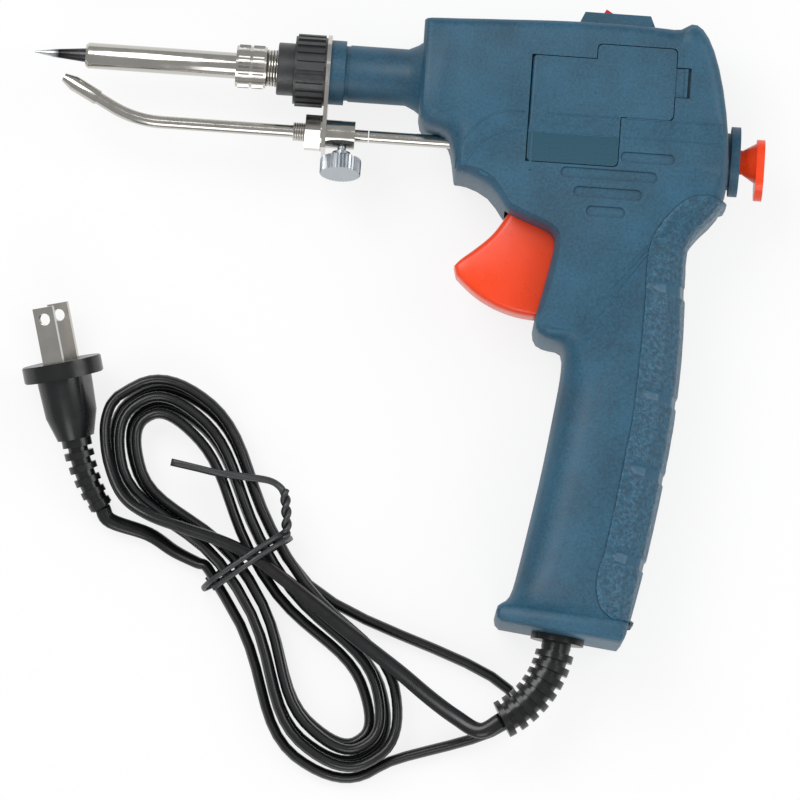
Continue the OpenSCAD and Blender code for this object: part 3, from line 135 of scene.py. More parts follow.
def node(tree, kind, links=None, **settings):
    """Adds a node to a tree, with its settings by attribute or input name, and its links."""
    made = tree.nodes.new(kind)
    for name, value in settings.items():
        if hasattr(made, name) and name not in made.inputs:
            setattr(made, name, value)
        else:
            made.inputs[name.replace("_", " ")].default_value = value
    for name, source in (links or {}).items():
        target = made.inputs[name] if isinstance(name, int) else made.inputs[name.replace("_", " ")]
        tree.links.new(source, target)
    return made


def surface(name, base, roughness, metallic=0.0, ior=None, coat=0.0, specular=None):
    """A material with a Principled shader. Uniform values sit on the shader's own sockets."""
    material = bpy.data.materials.new(name)
    material.use_nodes = True
    tree = material.node_tree
    shader = tree.nodes["Principled BSDF"]
    shader.inputs["Base Color"].default_value = (*base, 1)
    shader.inputs["Roughness"].default_value = roughness
    shader.inputs["Metallic"].default_value = metallic
    shader.inputs["Coat Weight"].default_value = coat
    if ior:
        shader.inputs["IOR"].default_value = ior
    if specular is not None:
        shader.inputs["Specular IOR Level"].default_value = specular
    return material, tree, shader


def place(tree, stretch=(1, 1, 1)):
    """Object coordinates in metres, stretched along the axes."""
    coordinates = node(tree, "ShaderNodeTexCoord")
    return node(
        tree, "ShaderNodeMapping", {"Vector": coordinates.outputs["Object"]}, Scale=stretch
    ).outputs["Vector"]


def grain(tree, size, detail=3.0, stretch=(1, 1, 1)):
    """Noise with spots of a given size in metres."""
    return node(
        tree, "ShaderNodeTexNoise", {"Vector": place(tree, stretch)},
        Scale=1 / size, Detail=detail, Roughness=0.6,
    ).outputs["Fac"]


def spread(tree, value, low, high, from_low=0.3, from_high=0.7):
    """Maps a noise value to a range."""
    return node(
        tree, "ShaderNodeMapRange", {"Value": value},
        From_Min=from_low, From_Max=from_high, To_Min=low, To_Max=high,
    ).outputs["Result"]


# Where a Mix node keeps its factor and colours, several sockets of one name before them
MIX_FACTOR = 0
MIX_A = 6
MIX_B = 7
MIX_RESULT = 2


def tinted(tree, shader, base, factor, darker, lighter):
    """Base colour that varies between a darker and a lighter share of itself."""
    mix = node(tree, "ShaderNodeMix", data_type="RGBA")
    tree.links.new(factor, mix.inputs[MIX_FACTOR])
    for socket, share in ((MIX_A, darker), (MIX_B, lighter)):
        mix.inputs[socket].default_value = (*[min(1, c * share) for c in base], 1)
    tree.links.new(mix.outputs[MIX_RESULT], shader.inputs["Base Color"])


def relief(tree, shader, height, depth, strength=1.0):
    """Bump of a given depth in metres."""
    bump = node(tree, "ShaderNodeBump", {"Height": height}, Strength=strength, Distance=depth)
    tree.links.new(bump.outputs["Normal"], shader.inputs["Normal"])


def spark_nylon(name, base):
    """Glass-filled nylon from a spark-eroded mould: a fine even grain that breaks up a soft sheen."""
    material, tree, shader = surface(name, base, 0.5, ior=1.53)
    fine = grain(tree, sizes().spark, detail=2)
    clouds = grain(tree, 18 * MM)
    total = node(tree, "ShaderNodeMath", {0: clouds, 1: fine}, operation="ADD")
    mean = node(tree, "ShaderNodeMath", {0: total.outputs["Value"]}, operation="MULTIPLY")
    mean.inputs[1].default_value = 0.5
    tinted(tree, shader, base, spread(tree, mean.outputs["Value"], 0, 1, 0.38, 0.62), 0.76, 1.34)
    tree.links.new(spread(tree, fine, 0.4, 0.56), shader.inputs["Roughness"])
    relief(tree, shader, fine, 0.16 * MM, 0.6)
    return material


# How much of the grained red, green and blue the polished face below the step keeps: painted shade that
# deepens its colour
POLISHED_AND_SHADED_SHARES = (0.1, 0.78, 0.76)


def polished_and_shaded_below(name, base, axis, level, soft):
    """Spark-textured nylon that is deeper in colour below a level along one axis: painted shade over the
    polished face there.
    """
    material = spark_nylon(name, base)
    tree = material.node_tree
    shader = tree.nodes["Principled BSDF"]
    grained = shader.inputs["Base Color"].links[0].from_socket
    split = node(tree, "ShaderNodeSeparateXYZ", {"Vector": place(tree)})
    share = node(
        tree, "ShaderNodeMapRange", {"Value": split.outputs[axis]},
        From_Min=level - soft, From_Max=level + soft, To_Min=1, To_Max=0,
    ).outputs["Result"]
    # Painted shade: below the level the colour turns deeper and darker
    mix = node(tree, "ShaderNodeMix", data_type="RGBA")
    tree.links.new(share, mix.inputs[MIX_FACTOR])
    tree.links.new(grained, mix.inputs[MIX_A])
    mix.inputs[MIX_B].default_value = (*[c * deeper for c, deeper in zip(base, POLISHED_AND_SHADED_SHARES)], 1)
    tree.links.new(mix.outputs[MIX_RESULT], shader.inputs["Base Color"])
    return material


def leather_grain(name, base):
    """The same nylon from an etched mould: a coarse leather grain with rubbed, paler crests."""
    material, tree, shader = surface(name, base, 0.42, ior=1.53)
    cells = grain(tree, 1.3 * MM, detail=2)
    tinted(tree, shader, base, spread(tree, cells, 0, 1, 0.4, 0.62), 0.8, 1.35)
    tree.links.new(spread(tree, cells, 0.5, 0.34), shader.inputs["Roughness"])
    relief(tree, shader, cells, 0.5 * MM, 0.9)
    return material


def smooth_and_highlit_nylon(name, base):
    """The nylon of the grooves, where the mould was polished: smoother, with a clearer sheen, and a paler
    tint that is a painted highlight.
    """
    material, tree, shader = surface(name, base, 0.33, ior=1.53)
    clouds = grain(tree, 3 * MM)
    # Painted highlight: the tint runs paler than the nylon around the grooves
    tinted(tree, shader, base, clouds, 0.95, 1.3)
    tree.links.new(spread(tree, clouds, 0.28, 0.38), shader.inputs["Roughness"])
    return material


def moulded_acetal(name, base, roughness=0.3):
    """Polished acetal: saturated colour with a wet-looking highlight and faint flow marks."""
    material, tree, shader = surface(name, base, roughness, ior=1.48)
    clouds = grain(tree, 9 * MM)
    tinted(tree, shader, base, clouds, 0.95, 1.04)
    tree.links.new(spread(tree, clouds, roughness - 0.05, roughness + 0.06), shader.inputs["Roughness"])
    relief(tree, shader, grain(tree, 0.8 * MM), 0.01 * MM, 0.4)
    return material


def moulded_phenolic(name, base):
    """Phenolic moulding: dense black with a satin skin that shows rubbed, paler spots."""
    material, tree, shader = surface(name, base, 0.4, ior=1.6)
    tinted(tree, shader, base, grain(tree, 2.5 * MM), 0.8, 1.5)
    tree.links.new(spread(tree, grain(tree, 1.2 * MM), 0.32, 0.48), shader.inputs["Roughness"])
    relief(tree, shader, grain(tree, 0.35 * MM), 0.02 * MM, 0.5)
    return material


def extruded_pvc(name, base, roughness=0.27):
    """Flexible PVC: near black, smooth from the die, with a soft greasy gloss."""
    material, tree, shader = surface(name, base, roughness, ior=1.53)
    clouds = grain(tree, 6 * MM)
    tinted(tree, shader, base, clouds, 0.85, 1.25)
    tree.links.new(spread(tree, clouds, roughness - 0.05, roughness + 0.09), shader.inputs["Roughness"])
    relief(tree, shader, grain(tree, 1.6 * MM), 0.02 * MM, 0.4)
    return material


def bright_nickel(name, base, roughness=0.12):
    """Bright nickel plate on drawn brass or steel: mirror-like, with hairlines along the tube."""
    material, tree, shader = surface(name, base, roughness, metallic=1)
    hair = grain(tree, 0.5 * MM, detail=2, stretch=(0.04, 1, 1))
    clouds = grain(tree, 5 * MM)
    tinted(tree, shader, base, clouds, 0.9, 1.05)
    tree.links.new(spread(tree, clouds, roughness - 0.04, roughness + 0.1), shader.inputs["Roughness"])
    relief(tree, shader, hair, 0.004 * MM, 0.5)
    return material


def turned_steel(name, base):
    """Turned steel: bright, with fine rings left round it by the tool."""
    material, tree, shader = surface(name, base, 0.26, metallic=1)
    tree.links.new(spread(tree, grain(tree, 3 * MM), 0.2, 0.34), shader.inputs["Roughness"])
    relief(tree, shader, grain(tree, 0.3 * MM, detail=2, stretch=(1, 0.05, 0.05)), 0.006 * MM, 0.5)
    return material


def zinc_plate(name, base):
    """Zinc plate: pale and slightly blue, with a cloudy satin skin."""
    material, tree, shader = surface(name, base, 0.34, metallic=1)
    clouds = grain(tree, 2.2 * MM)
    tinted(tree, shader, base, clouds, 0.82, 1.1)
    tree.links.new(spread(tree, clouds, 0.24, 0.46), shader.inputs["Roughness"])
    relief(tree, shader, grain(tree, 0.4 * MM), 0.008 * MM, 0.5)
    return material


def tip_iron(name, base, tinned):
    """Iron-plated copper tip: browned where the heater is, dark before the tinned point."""
    material, tree, shader = surface(name, base, 0.3, metallic=1)
    point_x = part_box("soldering_tip")[0].x
    sleeve_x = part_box("barrel_sleeve")[0].x
    split = node(tree, "ShaderNodeSeparateXYZ", {"Vector": place(tree)})
    along = node(
        tree, "ShaderNodeMapRange", {"Value": split.outputs["X"]},
        From_Min=point_x, From_Max=sleeve_x, To_Min=0, To_Max=1,
    ).outputs["Result"]
    ramp = node(tree, "ShaderNodeValToRGB", {"Fac": along})
    ramp.color_ramp.elements[0].position = 0.3
    ramp.color_ramp.elements[0].color = (*tinned, 1)
    ramp.color_ramp.elements[1].position = 0.48
    ramp.color_ramp.elements[1].color = (*[c * 0.25 for c in base], 1)
    ramp.color_ramp.elements.new(0.9).color = (*base, 1)
    tree.links.new(ramp.outputs["Color"], shader.inputs["Base Color"])
    tree.links.new(spread(tree, grain(tree, 1.5 * MM), 0.22, 0.4), shader.inputs["Roughness"])
    return material


def fired_alumina(name, base):
    """Fired alumina: matt, warm white and slightly gritty."""
    material, tree, shader = surface(name, base, 0.6, ior=1.76)
    tinted(tree, shader, base, grain(tree, 1.5 * MM), 0.93, 1.03)
    relief(tree, shader, grain(tree, 0.3 * MM), 0.02 * MM, 0.5)
    return material


materials = {}


def mix_materials():
    """Makes one material for each slot of the record."""
    f = finishes()
    materials.update(
        housing_blue=spark_nylon("Spark-textured nylon", f.nylon),
        trigger_orange=moulded_acetal("Moulded acetal", f.acetal),
        switch_red=moulded_acetal("Moulded rocker", f.rocker, 0.2),
        black_plastic=moulded_phenolic("Moulded phenolic", f.phenolic),
        black_rubber=extruded_pvc("Extruded PVC", f.pvc),
        nickel=bright_nickel("Bright nickel plate", f.nickel),
        steel=turned_steel("Turned steel", f.steel),
        zinc=zinc_plate("Zinc plate", f.zinc),
        tip_iron=tip_iron("Iron-plated tip", f.iron, f.tinned),
        ceramic=fired_alumina("Fired alumina", f.alumina),
        ivory_nylon=moulded_acetal("Natural nylon", f.natural, 0.4),
        brass=bright_nickel("Nickel plate on stamped brass", f.nickel, 0.16),
    )


slot_of = {s["node"]: s["material_slot"] for s in frame["record"]["subparts"]}


def finish_node(name, crease=36, material=None):
    """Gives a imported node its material, and smooth shading up to a crease angle."""
    piece = frame["nodes"][name]
    made = material or materials[slot_of[name]]
    piece.data.materials.clear()
    piece.data.materials.append(made)
    piece.data.shade_smooth()
    weld = piece.modifiers.new("Weld", "WELD")
    weld.merge_threshold = 0.002 * MM
    split = piece.modifiers.new("Crease", "EDGE_SPLIT")
    split.split_angle = math.radians(crease)
    return piece


# Geometry helpers

def piece_of(name, vertices, faces, slot, body, smooth=True):
    """A mesh piece that rides on a body and takes its finish from a slot."""
    mesh = bpy.data.meshes.new(name)
    mesh.from_pydata([tuple(v) for v in vertices], [], faces)
    mesh.materials.append(materials[slot])
    mesh.validate()
    if smooth:
        mesh.shade_smooth()
    made = bpy.data.objects.new(name, mesh)
    bpy.context.scene.collection.objects.link(made)
    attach(made, body)
    return made


def tube(path, half_width, half_thickness, sides, rolls, across=None):
    """Vertices and faces of an oval tube along a path. rolls turn its section, in radians."""
    count = len(path)
    vertices = []
    for i, point in enumerate(path):
        way = (path[min(i + 1, count - 1)] - path[max(i - 1, 0)]).normalized()
        if across is None:
            side = Vector((-way.y, way.x, 0)).normalized()
        else:
            side = (across - way * across.dot(way)).normalized()
        lift = way.cross(side)
        turn = rolls[i]
        for k in range(sides):
            a = math.tau * (k + 0.5) / sides
            x = half_width * math.cos(a)
            y = half_thickness * math.sin(a)
            vertices.append(
                point
                + side * (x * math.cos(turn) - y * math.sin(turn))
                + lift * (x * math.sin(turn) + y * math.cos(turn))
            )
    faces = [
        (i * sides + k, i * sides + (k + 1) % sides, (i + 1) * sides + (k + 1) % sides, (i + 1) * sides + k)
        for i in range(count - 1)
        for k in range(sides)
    ]
    faces.append(tuple(reversed(range(sides))))
    faces.append(tuple((count - 1) * sides + k for k in range(sides)))
    return vertices, faces


def joined(parts):
    """One list of vertices and faces from several."""
    vertices, faces = [], []
    for some, more in parts:
        faces += [tuple(len(vertices) + i for i in face) for face in more]
        vertices += some
    return vertices, faces


def curved(points, steps):
    """Points of a smooth curve through given points."""
    ends = [points[0] * 2 - points[1]] + points + [points[-1] * 2 - points[-2]]
    route = []
    for i in range(1, len(ends) - 2):
        p0, p1, p2, p3 = ends[i - 1 : i + 3]
        for k in range(steps):
            t = k / steps
            route.append(
                0.5 * (
                    2 * p1 + (p2 - p0) * t + (2 * p0 - 5 * p1 + 4 * p2 - p3) * t * t
                    + (3 * p1 - p0 - 3 * p2 + p3) * t ** 3
                )
            )
    return route + [points[-1]]


# Threads: start and end along the barrel, radius, height of the ridges and pitch
NECK_THREAD = (-46.4, -43.2, 5.3, 0.35, 0.8)
STUD_THREAD = (-37.1, -33.6, 2.65, 0.25, 0.7)
THREAD_SIDES = 48
# The solder tube's axis below the barrel's
TUBE_DROP = 18.6
# Crease angle that keeps ribs and knurls crisp, in degrees
KNURL_CREASE = 20


def thread(name, start, end, radius, height, pitch, slot, body, drop=0.0):
    """Ridges of a thread along the barrel's direction, in millimetres, drop below its axis."""
    sides = THREAD_SIDES
    rows = []
    count = round((end - start) / pitch)
    for i in range(count):
        rows += [(start + i * pitch, radius), (start + (i + 0.5) * pitch, radius + height)]
    rows.append((start + count * pitch, radius))
    vertices = [
        on_gun(x, r * math.cos(math.tau * k / sides) - drop, r * math.sin(math.tau * k / sides))
        for x, r in rows
        for k in range(sides)
    ]
    faces = [
        (i * sides + k, i * sides + (k + 1) % sides, (i + 1) * sides + (k + 1) % sides, (i + 1) * sides + k)
        for i in range(len(rows) - 1)
        for k in range(sides)
    ]
    return piece_of(name, vertices, faces, slot, body, smooth=False)


# Places that follow the housing, in millimetres: X back along the barrel, Y up, Z to the left side

REST_X = 50
HALF_T = 20


def on_gun(x, y, z=0.0):
    """A place in the gun's axes, on the table."""
    return Vector((x - REST_X, y, z + HALF_T)) * MM


def on_table(x, y, z):
    """A place in the gun's axes, with its height above the table."""
    return Vector((x - REST_X, y, z)) * MM


# The lead, along the route of its solids

CORD_W = 4.8
HANK_AT = (-41, -147)
HANK_A = math.radians(-54.5)
HANK_END = 4.5
HANK_TURN = 2.25
LOOP_RINGS = 24
HANK_MID = 5
HANK_HALF = 69
END_STEP = 5
WAIST_STEP = 4.4
LOBE_STEP = 5.8
WAIST_HALF = 2.75 * WAIST_STEP
LOBE_SWELL = 14
LOBE_LEAN = 3.5
LOBE_START = 0.74
BLUNT = 0.8
LAYER_LOW = CORD_W / 2 + 0.3
LAYER_RISE = CORD_W + 0.6
WAIST_RISE = 0.9
CLIMB_RUN = 0.22
BIG_OUT = 28
BIG_ALONG = 22


def from_hank(x, y, z):
    """From the hank's axes, along and across it, to the table."""
    return on_table(
        HANK_AT[0] + x * math.cos(HANK_A) - y * math.sin(HANK_A),
        HANK_AT[1] + x * math.sin(HANK_A) + y * math.cos(HANK_A),
        z,
    )


def hank_point(t):
    """Where the cord is after t loops, in the hank's axes: in on the table, out on top."""
    def blunted(x):
        return math.copysign(abs(x) ** BLUNT, x)

    a = math.tau * t
    c = math.cos(a)
    g = math.sin(math.pi / 2 * min(1, abs(c) / LOBE_START)) ** 2
    s = t + 0.25 if t < HANK_TURN else 2 * HANK_TURN + 0.25 - t
    x = min(1, max(0, (t - HANK_TURN) / CLIMB_RUN + 0.5))
    climb = x * x * (3 - 2 * x)
    big = math.sin(4 * math.pi * t) ** 2 if 0 < t < 0.25 else 0
    step = WAIST_STEP + (LOBE_STEP - WAIST_STEP) * g
    return (
        HANK_MID + (HANK_HALF - END_STEP * s) * blunted(c) + BIG_ALONG * big,
        (WAIST_HALF + LOBE_SWELL * g - step * s) * blunted(math.sin(a))
        - (LOBE_LEAN * g if c < 0 else 0) + BIG_OUT * big,
        LAYER_LOW + WAIST_RISE * (1 - g) + LAYER_RISE * climb,
    )


PLUG_TURN = math.radians(105)
PLUG_TILT = math.radians(9.5)
PLUG_AT = (-101, -94.1, 12.3)
BOOT_R = 52.8
BOOT_TURN = math.radians(21.7)
BOOT_END = (-23.5 - BOOT_R * math.sin(BOOT_TURN), -BOOT_R * (1 - math.cos(BOOT_TURN)))


def from_plug(x, y, z=0.0):
    """From the plug's axes to the table."""
    along = x * math.cos(PLUG_TILT) - z * math.sin(PLUG_TILT)
    up = x * math.sin(PLUG_TILT) + z * math.cos(PLUG_TILT)
    return on_table(
        PLUG_AT[0] + along * math.cos(PLUG_TURN) - y * math.sin(PLUG_TURN),
        PLUG_AT[1] + along * math.sin(PLUG_TURN) + y * math.cos(PLUG_TURN),
        PLUG_AT[2] + up,
    )


BASE_A = math.radians(-6.404)
BASE_AT = (52.21, -164.37)
GUARD_BEND_R = 30
GUARD_TURN = math.radians(53)
GUARD_FLANGE = 3.5
TAIL_POINTS = [(-72, -141, 3.2), (-64, -145.5, 3), (-57, -148.5, 3.4)]
LEAD_POINTS = [
    (-61, -12.2, 8.6), (-56, -16.8, 8.8), (-47, -20.9, 9.4), (-36, -22.5, 11.6), (-27, -19, 13.6),
    (-18, -12, 13.9), (-8, -4, 14), (1, 1.5, 14), (11, 5.5, 13.9), (21, 9, 13.8), (31, 12.5, 13.7),
    (42, 16.5, 13.8), (53, 20.5, 14.5), (64, 24, 16), (73, 27.5, 17.8),
]


def from_base(x, y, z):
    """From the axes of the grip's base to the table."""
    return on_table(
        BASE_AT[0] + x * math.cos(BASE_A) - y * math.sin(BASE_A),
        BASE_AT[1] + x * math.sin(BASE_A) + y * math.cos(BASE_A),
        z,
    )


def lead_route():
    """The lead from the guard to the plug, and how its section turns on the way."""
    first, last = hank_point(-0.25), hank_point(HANK_END)
    hank = [from_hank(first[0] - CORD_W, first[1], first[2])]
    fine = 3 * LOOP_RINGS
    hank += [from_hank(*hank_point(i / fine - 0.25)) for i in range(int(fine * (HANK_END + 0.25)) + 1)]
    hank.append(from_hank(last[0], last[1] - CORD_W, last[2]))

    way = (-math.cos(BOOT_TURN), -math.sin(BOOT_TURN))
    tail = [
        from_plug(*BOOT_END), from_plug(BOOT_END[0] + way[0] * CORD_W, BOOT_END[1] + way[1] * CORD_W),
        *[on_table(*p) for p in TAIL_POINTS],
        hank[0] - (hank[1] - hank[0]) * 1.2, hank[0],
    ]
    tail = curved(tail, 6)[:-1]

    turn = GUARD_TURN
    out = (-GUARD_BEND_R * (1 - math.cos(turn)), -GUARD_FLANGE - GUARD_BEND_R * math.sin(turn))
    on = (out[0] - math.sin(turn) * CORD_W * 1.5, out[1] - math.cos(turn) * CORD_W * 1.5)
    lead = [hank[-1]] + [from_hank(*p) for p in LEAD_POINTS]
    lead = curved(lead + [from_base(*on, HALF_T), from_base(*out, HALF_T)], 6)[1:]

    quarter = math.pi / 2
    turns = [quarter * i / len(tail) for i in range(len(tail))]
    turns += [quarter] * len(hank)
    turns += [quarter * (1 - (i + 1) / len(lead)) for i in range(len(lead))]
    route = tail + hank + lead
    return route[::-1], turns[::-1]


def make_lead():
    """The whole lead as one oval tube, in place of its three solids."""
    route, turns = lead_route()
    s = sizes()
    vertices, faces = tube(route, s.cord_width / 2, s.cord_thickness / 2, 16, turns)
    lead = piece_of("mains_lead", vertices, faces, "black_rubber", "gun")
    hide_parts("cord_lead", "cord_hank", "cord_tail")
    return lead, route


# The tie round the hank's waist, in the hank's axes: across, then height above the table
TIE_OUTLINE = [(-14.15, 0.75), (11.95, 0.75), (11.95, 12.05), (4.6, 16.05), (-3, 16.05), (-14.15, 12.05)]
TIE_WRAPS = 2
TIE_SHIFT = 2.2
TIE_CLEAR = 0.05
TIE_SIDES = 8
KNOT_POINTS = [(0.5, 11.4, 10.6), (-2, 14, 11.6), (-7, 17, 12.6), (-12, 19.5, 12.4)]
KNOT_TURNS = 2.5
KNOT_R = 0.8
STRAND_R = 0.85
FREE_END = [
    (-10.6, 18.8, 12.5), (-13.5, 18.9, 12.9), (-17, 17, 13.4), (-22, 11, 13.8), (-27, 5, 13.8),
    (-32, 0, 13.6), (-37, -5, 13.2),
]
# Shares of the tie's width where it is bunched round the loops, and at its free end
WRAP_SHARE = 0.55
END_SHARE = 0.8


def make_tie():
    """Plastic-covered wire, twice round the waist, twisted, with a free end over the loops."""
    s = sizes()
    half = s.tie_width / 2
    thin = s.tie_thickness / 2
    ring = []
    count = len(TIE_OUTLINE)
    for i in range(TIE_WRAPS * count):
        shift = (i / count - TIE_WRAPS / 2) * TIE_SHIFT
        ring.append(from_hank(shift, *TIE_OUTLINE[i % count]))
    ring = curved(ring, 6)
    for point in ring:
        point.z = max(point.z, thin + TIE_CLEAR * MM)
    along = from_hank(1, 0, 0) - from_hank(0, 0, 0)
    parts = [tube(ring, half * WRAP_SHARE, thin, TIE_SIDES, [0] * len(ring), across=along)]
    knot = curved([from_hank(*p) for p in KNOT_POINTS], 10)
    for phase in (0, math.pi):
        strand = []
        for i, p in enumerate(knot):
            way = (knot[min(i + 1, len(knot) - 1)] - knot[max(i - 1, 0)]).normalized()
            side = Vector((-way.y, way.x, 0)).normalized()
            lift = way.cross(side)
            a = phase + i / len(knot) * math.tau * KNOT_TURNS
            strand.append(p + (side * math.cos(a) + lift * math.sin(a)) * KNOT_R * MM)
        parts.append(tube(strand, STRAND_R * MM, STRAND_R * MM, TIE_SIDES, [0] * len(strand)))
    end = curved([from_hank(*p) for p in FREE_END], 5)
    rolls = [0.5 * math.sin(i / 5) for i in range(len(end))]
    parts.append(tube(end, half * END_SHARE, thin, TIE_SIDES, rolls))
    tie = piece_of("wire_tie", *joined(parts), "black_plastic", "gun")
    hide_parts("twist_tie")
    return tie


# The grip's leather-grained pad: front line and back of each row, in the gun's axes

PAD_ROWS = [
    (87.5, -31.7, 89.3, -32.1), (82.7, -32.3, 89.8, -35.1), (77.6, -36.3, 88.6, -39.4),
    (73.5, -41.7, 85.3, -44.1), (71.2, -47.3, 82.6, -48.2), (70.6, -53.6, 82.5, -54.8),
    (70.7, -63.9, 82.9, -64.7), (70.5, -75.9, 82.7, -76.8), (70.0, -88.0, 82.4, -89.7),
    (69.4, -98.8, 81.8, -100.6), (68.0, -109.5, 80.5, -111.8), (66.6, -120.4, 79.3, -122.8),
    (65.2, -130.1, 77.6, -132.5), (63.7, -139.5, 76.3, -141.9), (62.0, -146.6, 75.3, -149.2),
    (62.0, -151.9, 74.0, -154.7), (63.8, -156.7, 73.2, -157.8), (67.2, -159.6, 72.9, -159.9),
]
PAD_STEPS = 16
# Heights above the housing, in millimetres: the pad, its rim, its sunk edge and the floor of a groove
PAD_RISE = 0.5
RIM_RISE = 0.3
EDGE_RISE = -0.4
GROOVE_RISE = 0.02
# Grooves: their places counted in rows, then half width, wall and distance from the front line
GROOVE_ROWS = (5.6, 8.3, 10.36, 13.05)
GROOVE_HALF = 1.75
GROOVE_WALL = 0.4
GROOVE_START = 4.2
# Above this share of its depth, a groove's face is smooth, with a painted highlight in its paler tint
GROOVE_SMOOTH_SHARE = 0.3
# The parting line between the halves: its depth, and the angle that clears it, in degrees
SEAM_DEPTH = 0.3
SEAM_ANGLE = 2
# From outside the grip to its middle, and the rows that a notch in the housing may take up
PAD_REACH = 24
NOTCH_ROWS = 6
# From the front line on the left side round to the back, in degrees
PAD_ANGLES = [90, 89.4, 88.3, 86.5] + [84 - 3 * i for i in range(28)] + [1.2, 0]


def skin_of(name):
    """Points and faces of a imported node, to lay pieces on."""
    mesh = frame["nodes"][name].data
    return [v.co for v in mesh.vertices], [tuple(p.vertices) for p in mesh.polygons]


def bridged(values, window):
    """Fills short dips in a row of heights."""
    count = len(values)
    high = [max(values[max(0, i - window) : i + window + 1]) for i in range(count)]
    return [min(high[max(0, i - window) : i + window + 1]) for i in range(count)]


def around(across, degrees):
    """Direction out of the grip, turned from its back towards its left side."""
    turn = math.radians(degrees)
    return across * math.cos(turn) + Vector((0, 0, 1)) * math.sin(turn)


def pad_heights(fronts, backs, angles):
    """Distance from each row's front line to the housing's skin, with its notches bridged."""
    skin = [BVHTree.FromPolygons(*skin_of(name)) for name in ("left_housing", "right_housing")]
    reach = PAD_REACH * MM
    heights = []
    for angle_out in angles:
        clear = math.copysign(max(abs(angle_out), SEAM_ANGLE), angle_out)
        column = []
        for front, back in zip(fronts, backs):
            way = around((back - front).normalized(), clear)
            hits = [tree.ray_cast(front + way * reach, -way, reach) for tree in skin]
            column.append(max((reach - hit[3] for hit in hits if hit[0]), default=None))
        for i, value in enumerate(column):
            if value is None:
                column[i] = next(v for v in column[i:] + column[i::-1] if v is not None)
        heights.append(bridged(column, NOTCH_ROWS))
    return heights


def make_pad():
    """Raised pad round the back of the grip, with four grooves for the palm."""
    fronts = curved([on_gun(*row[:2]) for row in PAD_ROWS], PAD_STEPS)
    backs = curved([on_gun(*row[2:]) for row in PAD_ROWS], PAD_STEPS)
    angles = PAD_ANGLES + [-a for a in reversed(PAD_ANGLES[:-1])]
    heights = pad_heights(fronts, backs, angles)
    count = len(fronts)
    n = len(angles)
    vertices, dipped = [], []
    for i, (front, back) in enumerate(zip(fronts, backs)):
        across = (back - front).normalized()
        nearby = (fronts[min(i + 1, count - 1)] - fronts[max(i - 1, 0)]).length / 2
        pitch = nearby * PAD_STEPS / MM
        for k, angle_out in enumerate(angles):
            at = heights[k][i]
            inward = at * math.cos(math.radians(angle_out)) / MM
            rise = PAD_RISE
            deepest = 0
            for groove in GROOVE_ROWS:
                off = math.hypot((i / PAD_STEPS - groove) * pitch, min(0, inward - GROOVE_START))
                dip = min(1, max(0, (GROOVE_HALF - off) / GROOVE_WALL + 0.5))
                rise -= (PAD_RISE - GROOVE_RISE) * dip * dip * (3 - 2 * dip)
                deepest = max(deepest, dip)
            if angle_out == 0:
                rise -= SEAM_DEPTH
            from_edge = min(k, n - 1 - k, i, count - 1 - i)
            if from_edge == 0:
                rise = EDGE_RISE
            elif from_edge == 1:
                rise = min(rise, RIM_RISE)
            vertices.append(front + around(across, angle_out) * (at + rise * MM))
            dipped.append(deepest)
    faces = [
        (i * n + k, (i + 1) * n + k, (i + 1) * n + k + 1, i * n + k + 1)
        for i in range(count - 1)
        for k in range(n - 1)
    ]
    pad = piece_of("grip_pad", vertices, faces, "housing_blue", "gun")
    pad.data.materials[0] = leather_grain("Leather-grained nylon", finishes().nylon)
    pad.data.materials.append(smooth_and_highlit_nylon("Smooth nylon, painted highlight", finishes().nylon))
    # Faces deep in a groove take the smooth nylon with its painted highlight
    for face in pad.data.polygons:
        if min(dipped[v] for v in face.vertices) > GROOVE_SMOOTH_SHARE:
            face.material_index = 1


# Raised edge lines of the relief step: where each starts, its width and height in rounding, its level

LINE_HALF = 0.28
LINE_RISE = 0.1
LINE_SIDES = 6
LINE_STEP = 0.8
LINE_BEND_STEPS = 60
LINE_END = 91.5
RELIEF_LINES = {"upper_line": (12, 17, 18.4, -10.6), "lower_line": (13.4, 16.5, 18.4, -16.3)}
# Below this level the door's colour is painted deeper, as shade over its polished face
POLISH_AND_SHADE_LEVEL = -16.3
# Each line's stretches: in front of the door, behind it and on it
LINE_STRETCHES = {"front": ("gun", 0, 31.4), "back": ("gun", 61, LINE_END), "on_door": ("door", 37, 59.4)}
# The side wall's skin lies above this height over the table
SIDE_HEIGHT = 30
ABOVE_ALL = 40


def relief_points(start, round_x, round_y, level):
    """An ellipse from the beak that runs out level towards the back."""
    points = []
    for i in range(LINE_BEND_STEPS + 1):
        a = math.pi / 2 * i / LINE_BEND_STEPS
        points.append((start + round_x * (1 - math.cos(a)), level - round_y * (1 - math.sin(a))))
    x = points[-1][0]
    while x < LINE_END:
        x += LINE_STEP
        points.append((x, level))
    return points


def make_line(name, points, body, from_x, to_x):
    """Narrow ridge on the skin along a line, between two places."""
    tree = BVHTree.FromPolygons(*skin_of("feed_door" if body == "door" else "left_housing"))
    stretches = [[]]
    for x, y in points:
        seat = None
        if from_x <= x <= to_x:
            seat = tree.ray_cast(on_gun(x, y, ABOVE_ALL), Vector((0, 0, -1)))[0]
        if seat and seat.z > SIDE_HEIGHT * MM:
            stretches[-1].append(seat)
        elif stretches[-1]:
            stretches.append([])
    parts = [
        tube(part, LINE_HALF * MM, LINE_RISE * MM, LINE_SIDES, [0] * len(part))
        for part in stretches
        if len(part) > 3
    ]
    return piece_of(name, *joined(parts), "housing_blue", body)


# Stage

FLOOR_REACH = 3
# How much of the floor shows as plain white; the rest keeps the shadow
FLOOR_GLOW = 0.82
ROOM_STRENGTH = 0.42
SENSOR_WIDTH = 36
# What the camera looks at, in the gun's axes
LOOK_AT = (0.45, -97.1)
MIDDLE = (20, -90)
# Soft boxes: place in metres, side in metres, power in watts
SOFT_BOXES = {
    "key": ((-0.7, 0.5, 1.3), 0.9, 11),
    "fill": ((0.9, 0.2, 0.9), 0.8, 5),
    "front": ((0.0, -1.1, 0.8), 0.7, 4),
}


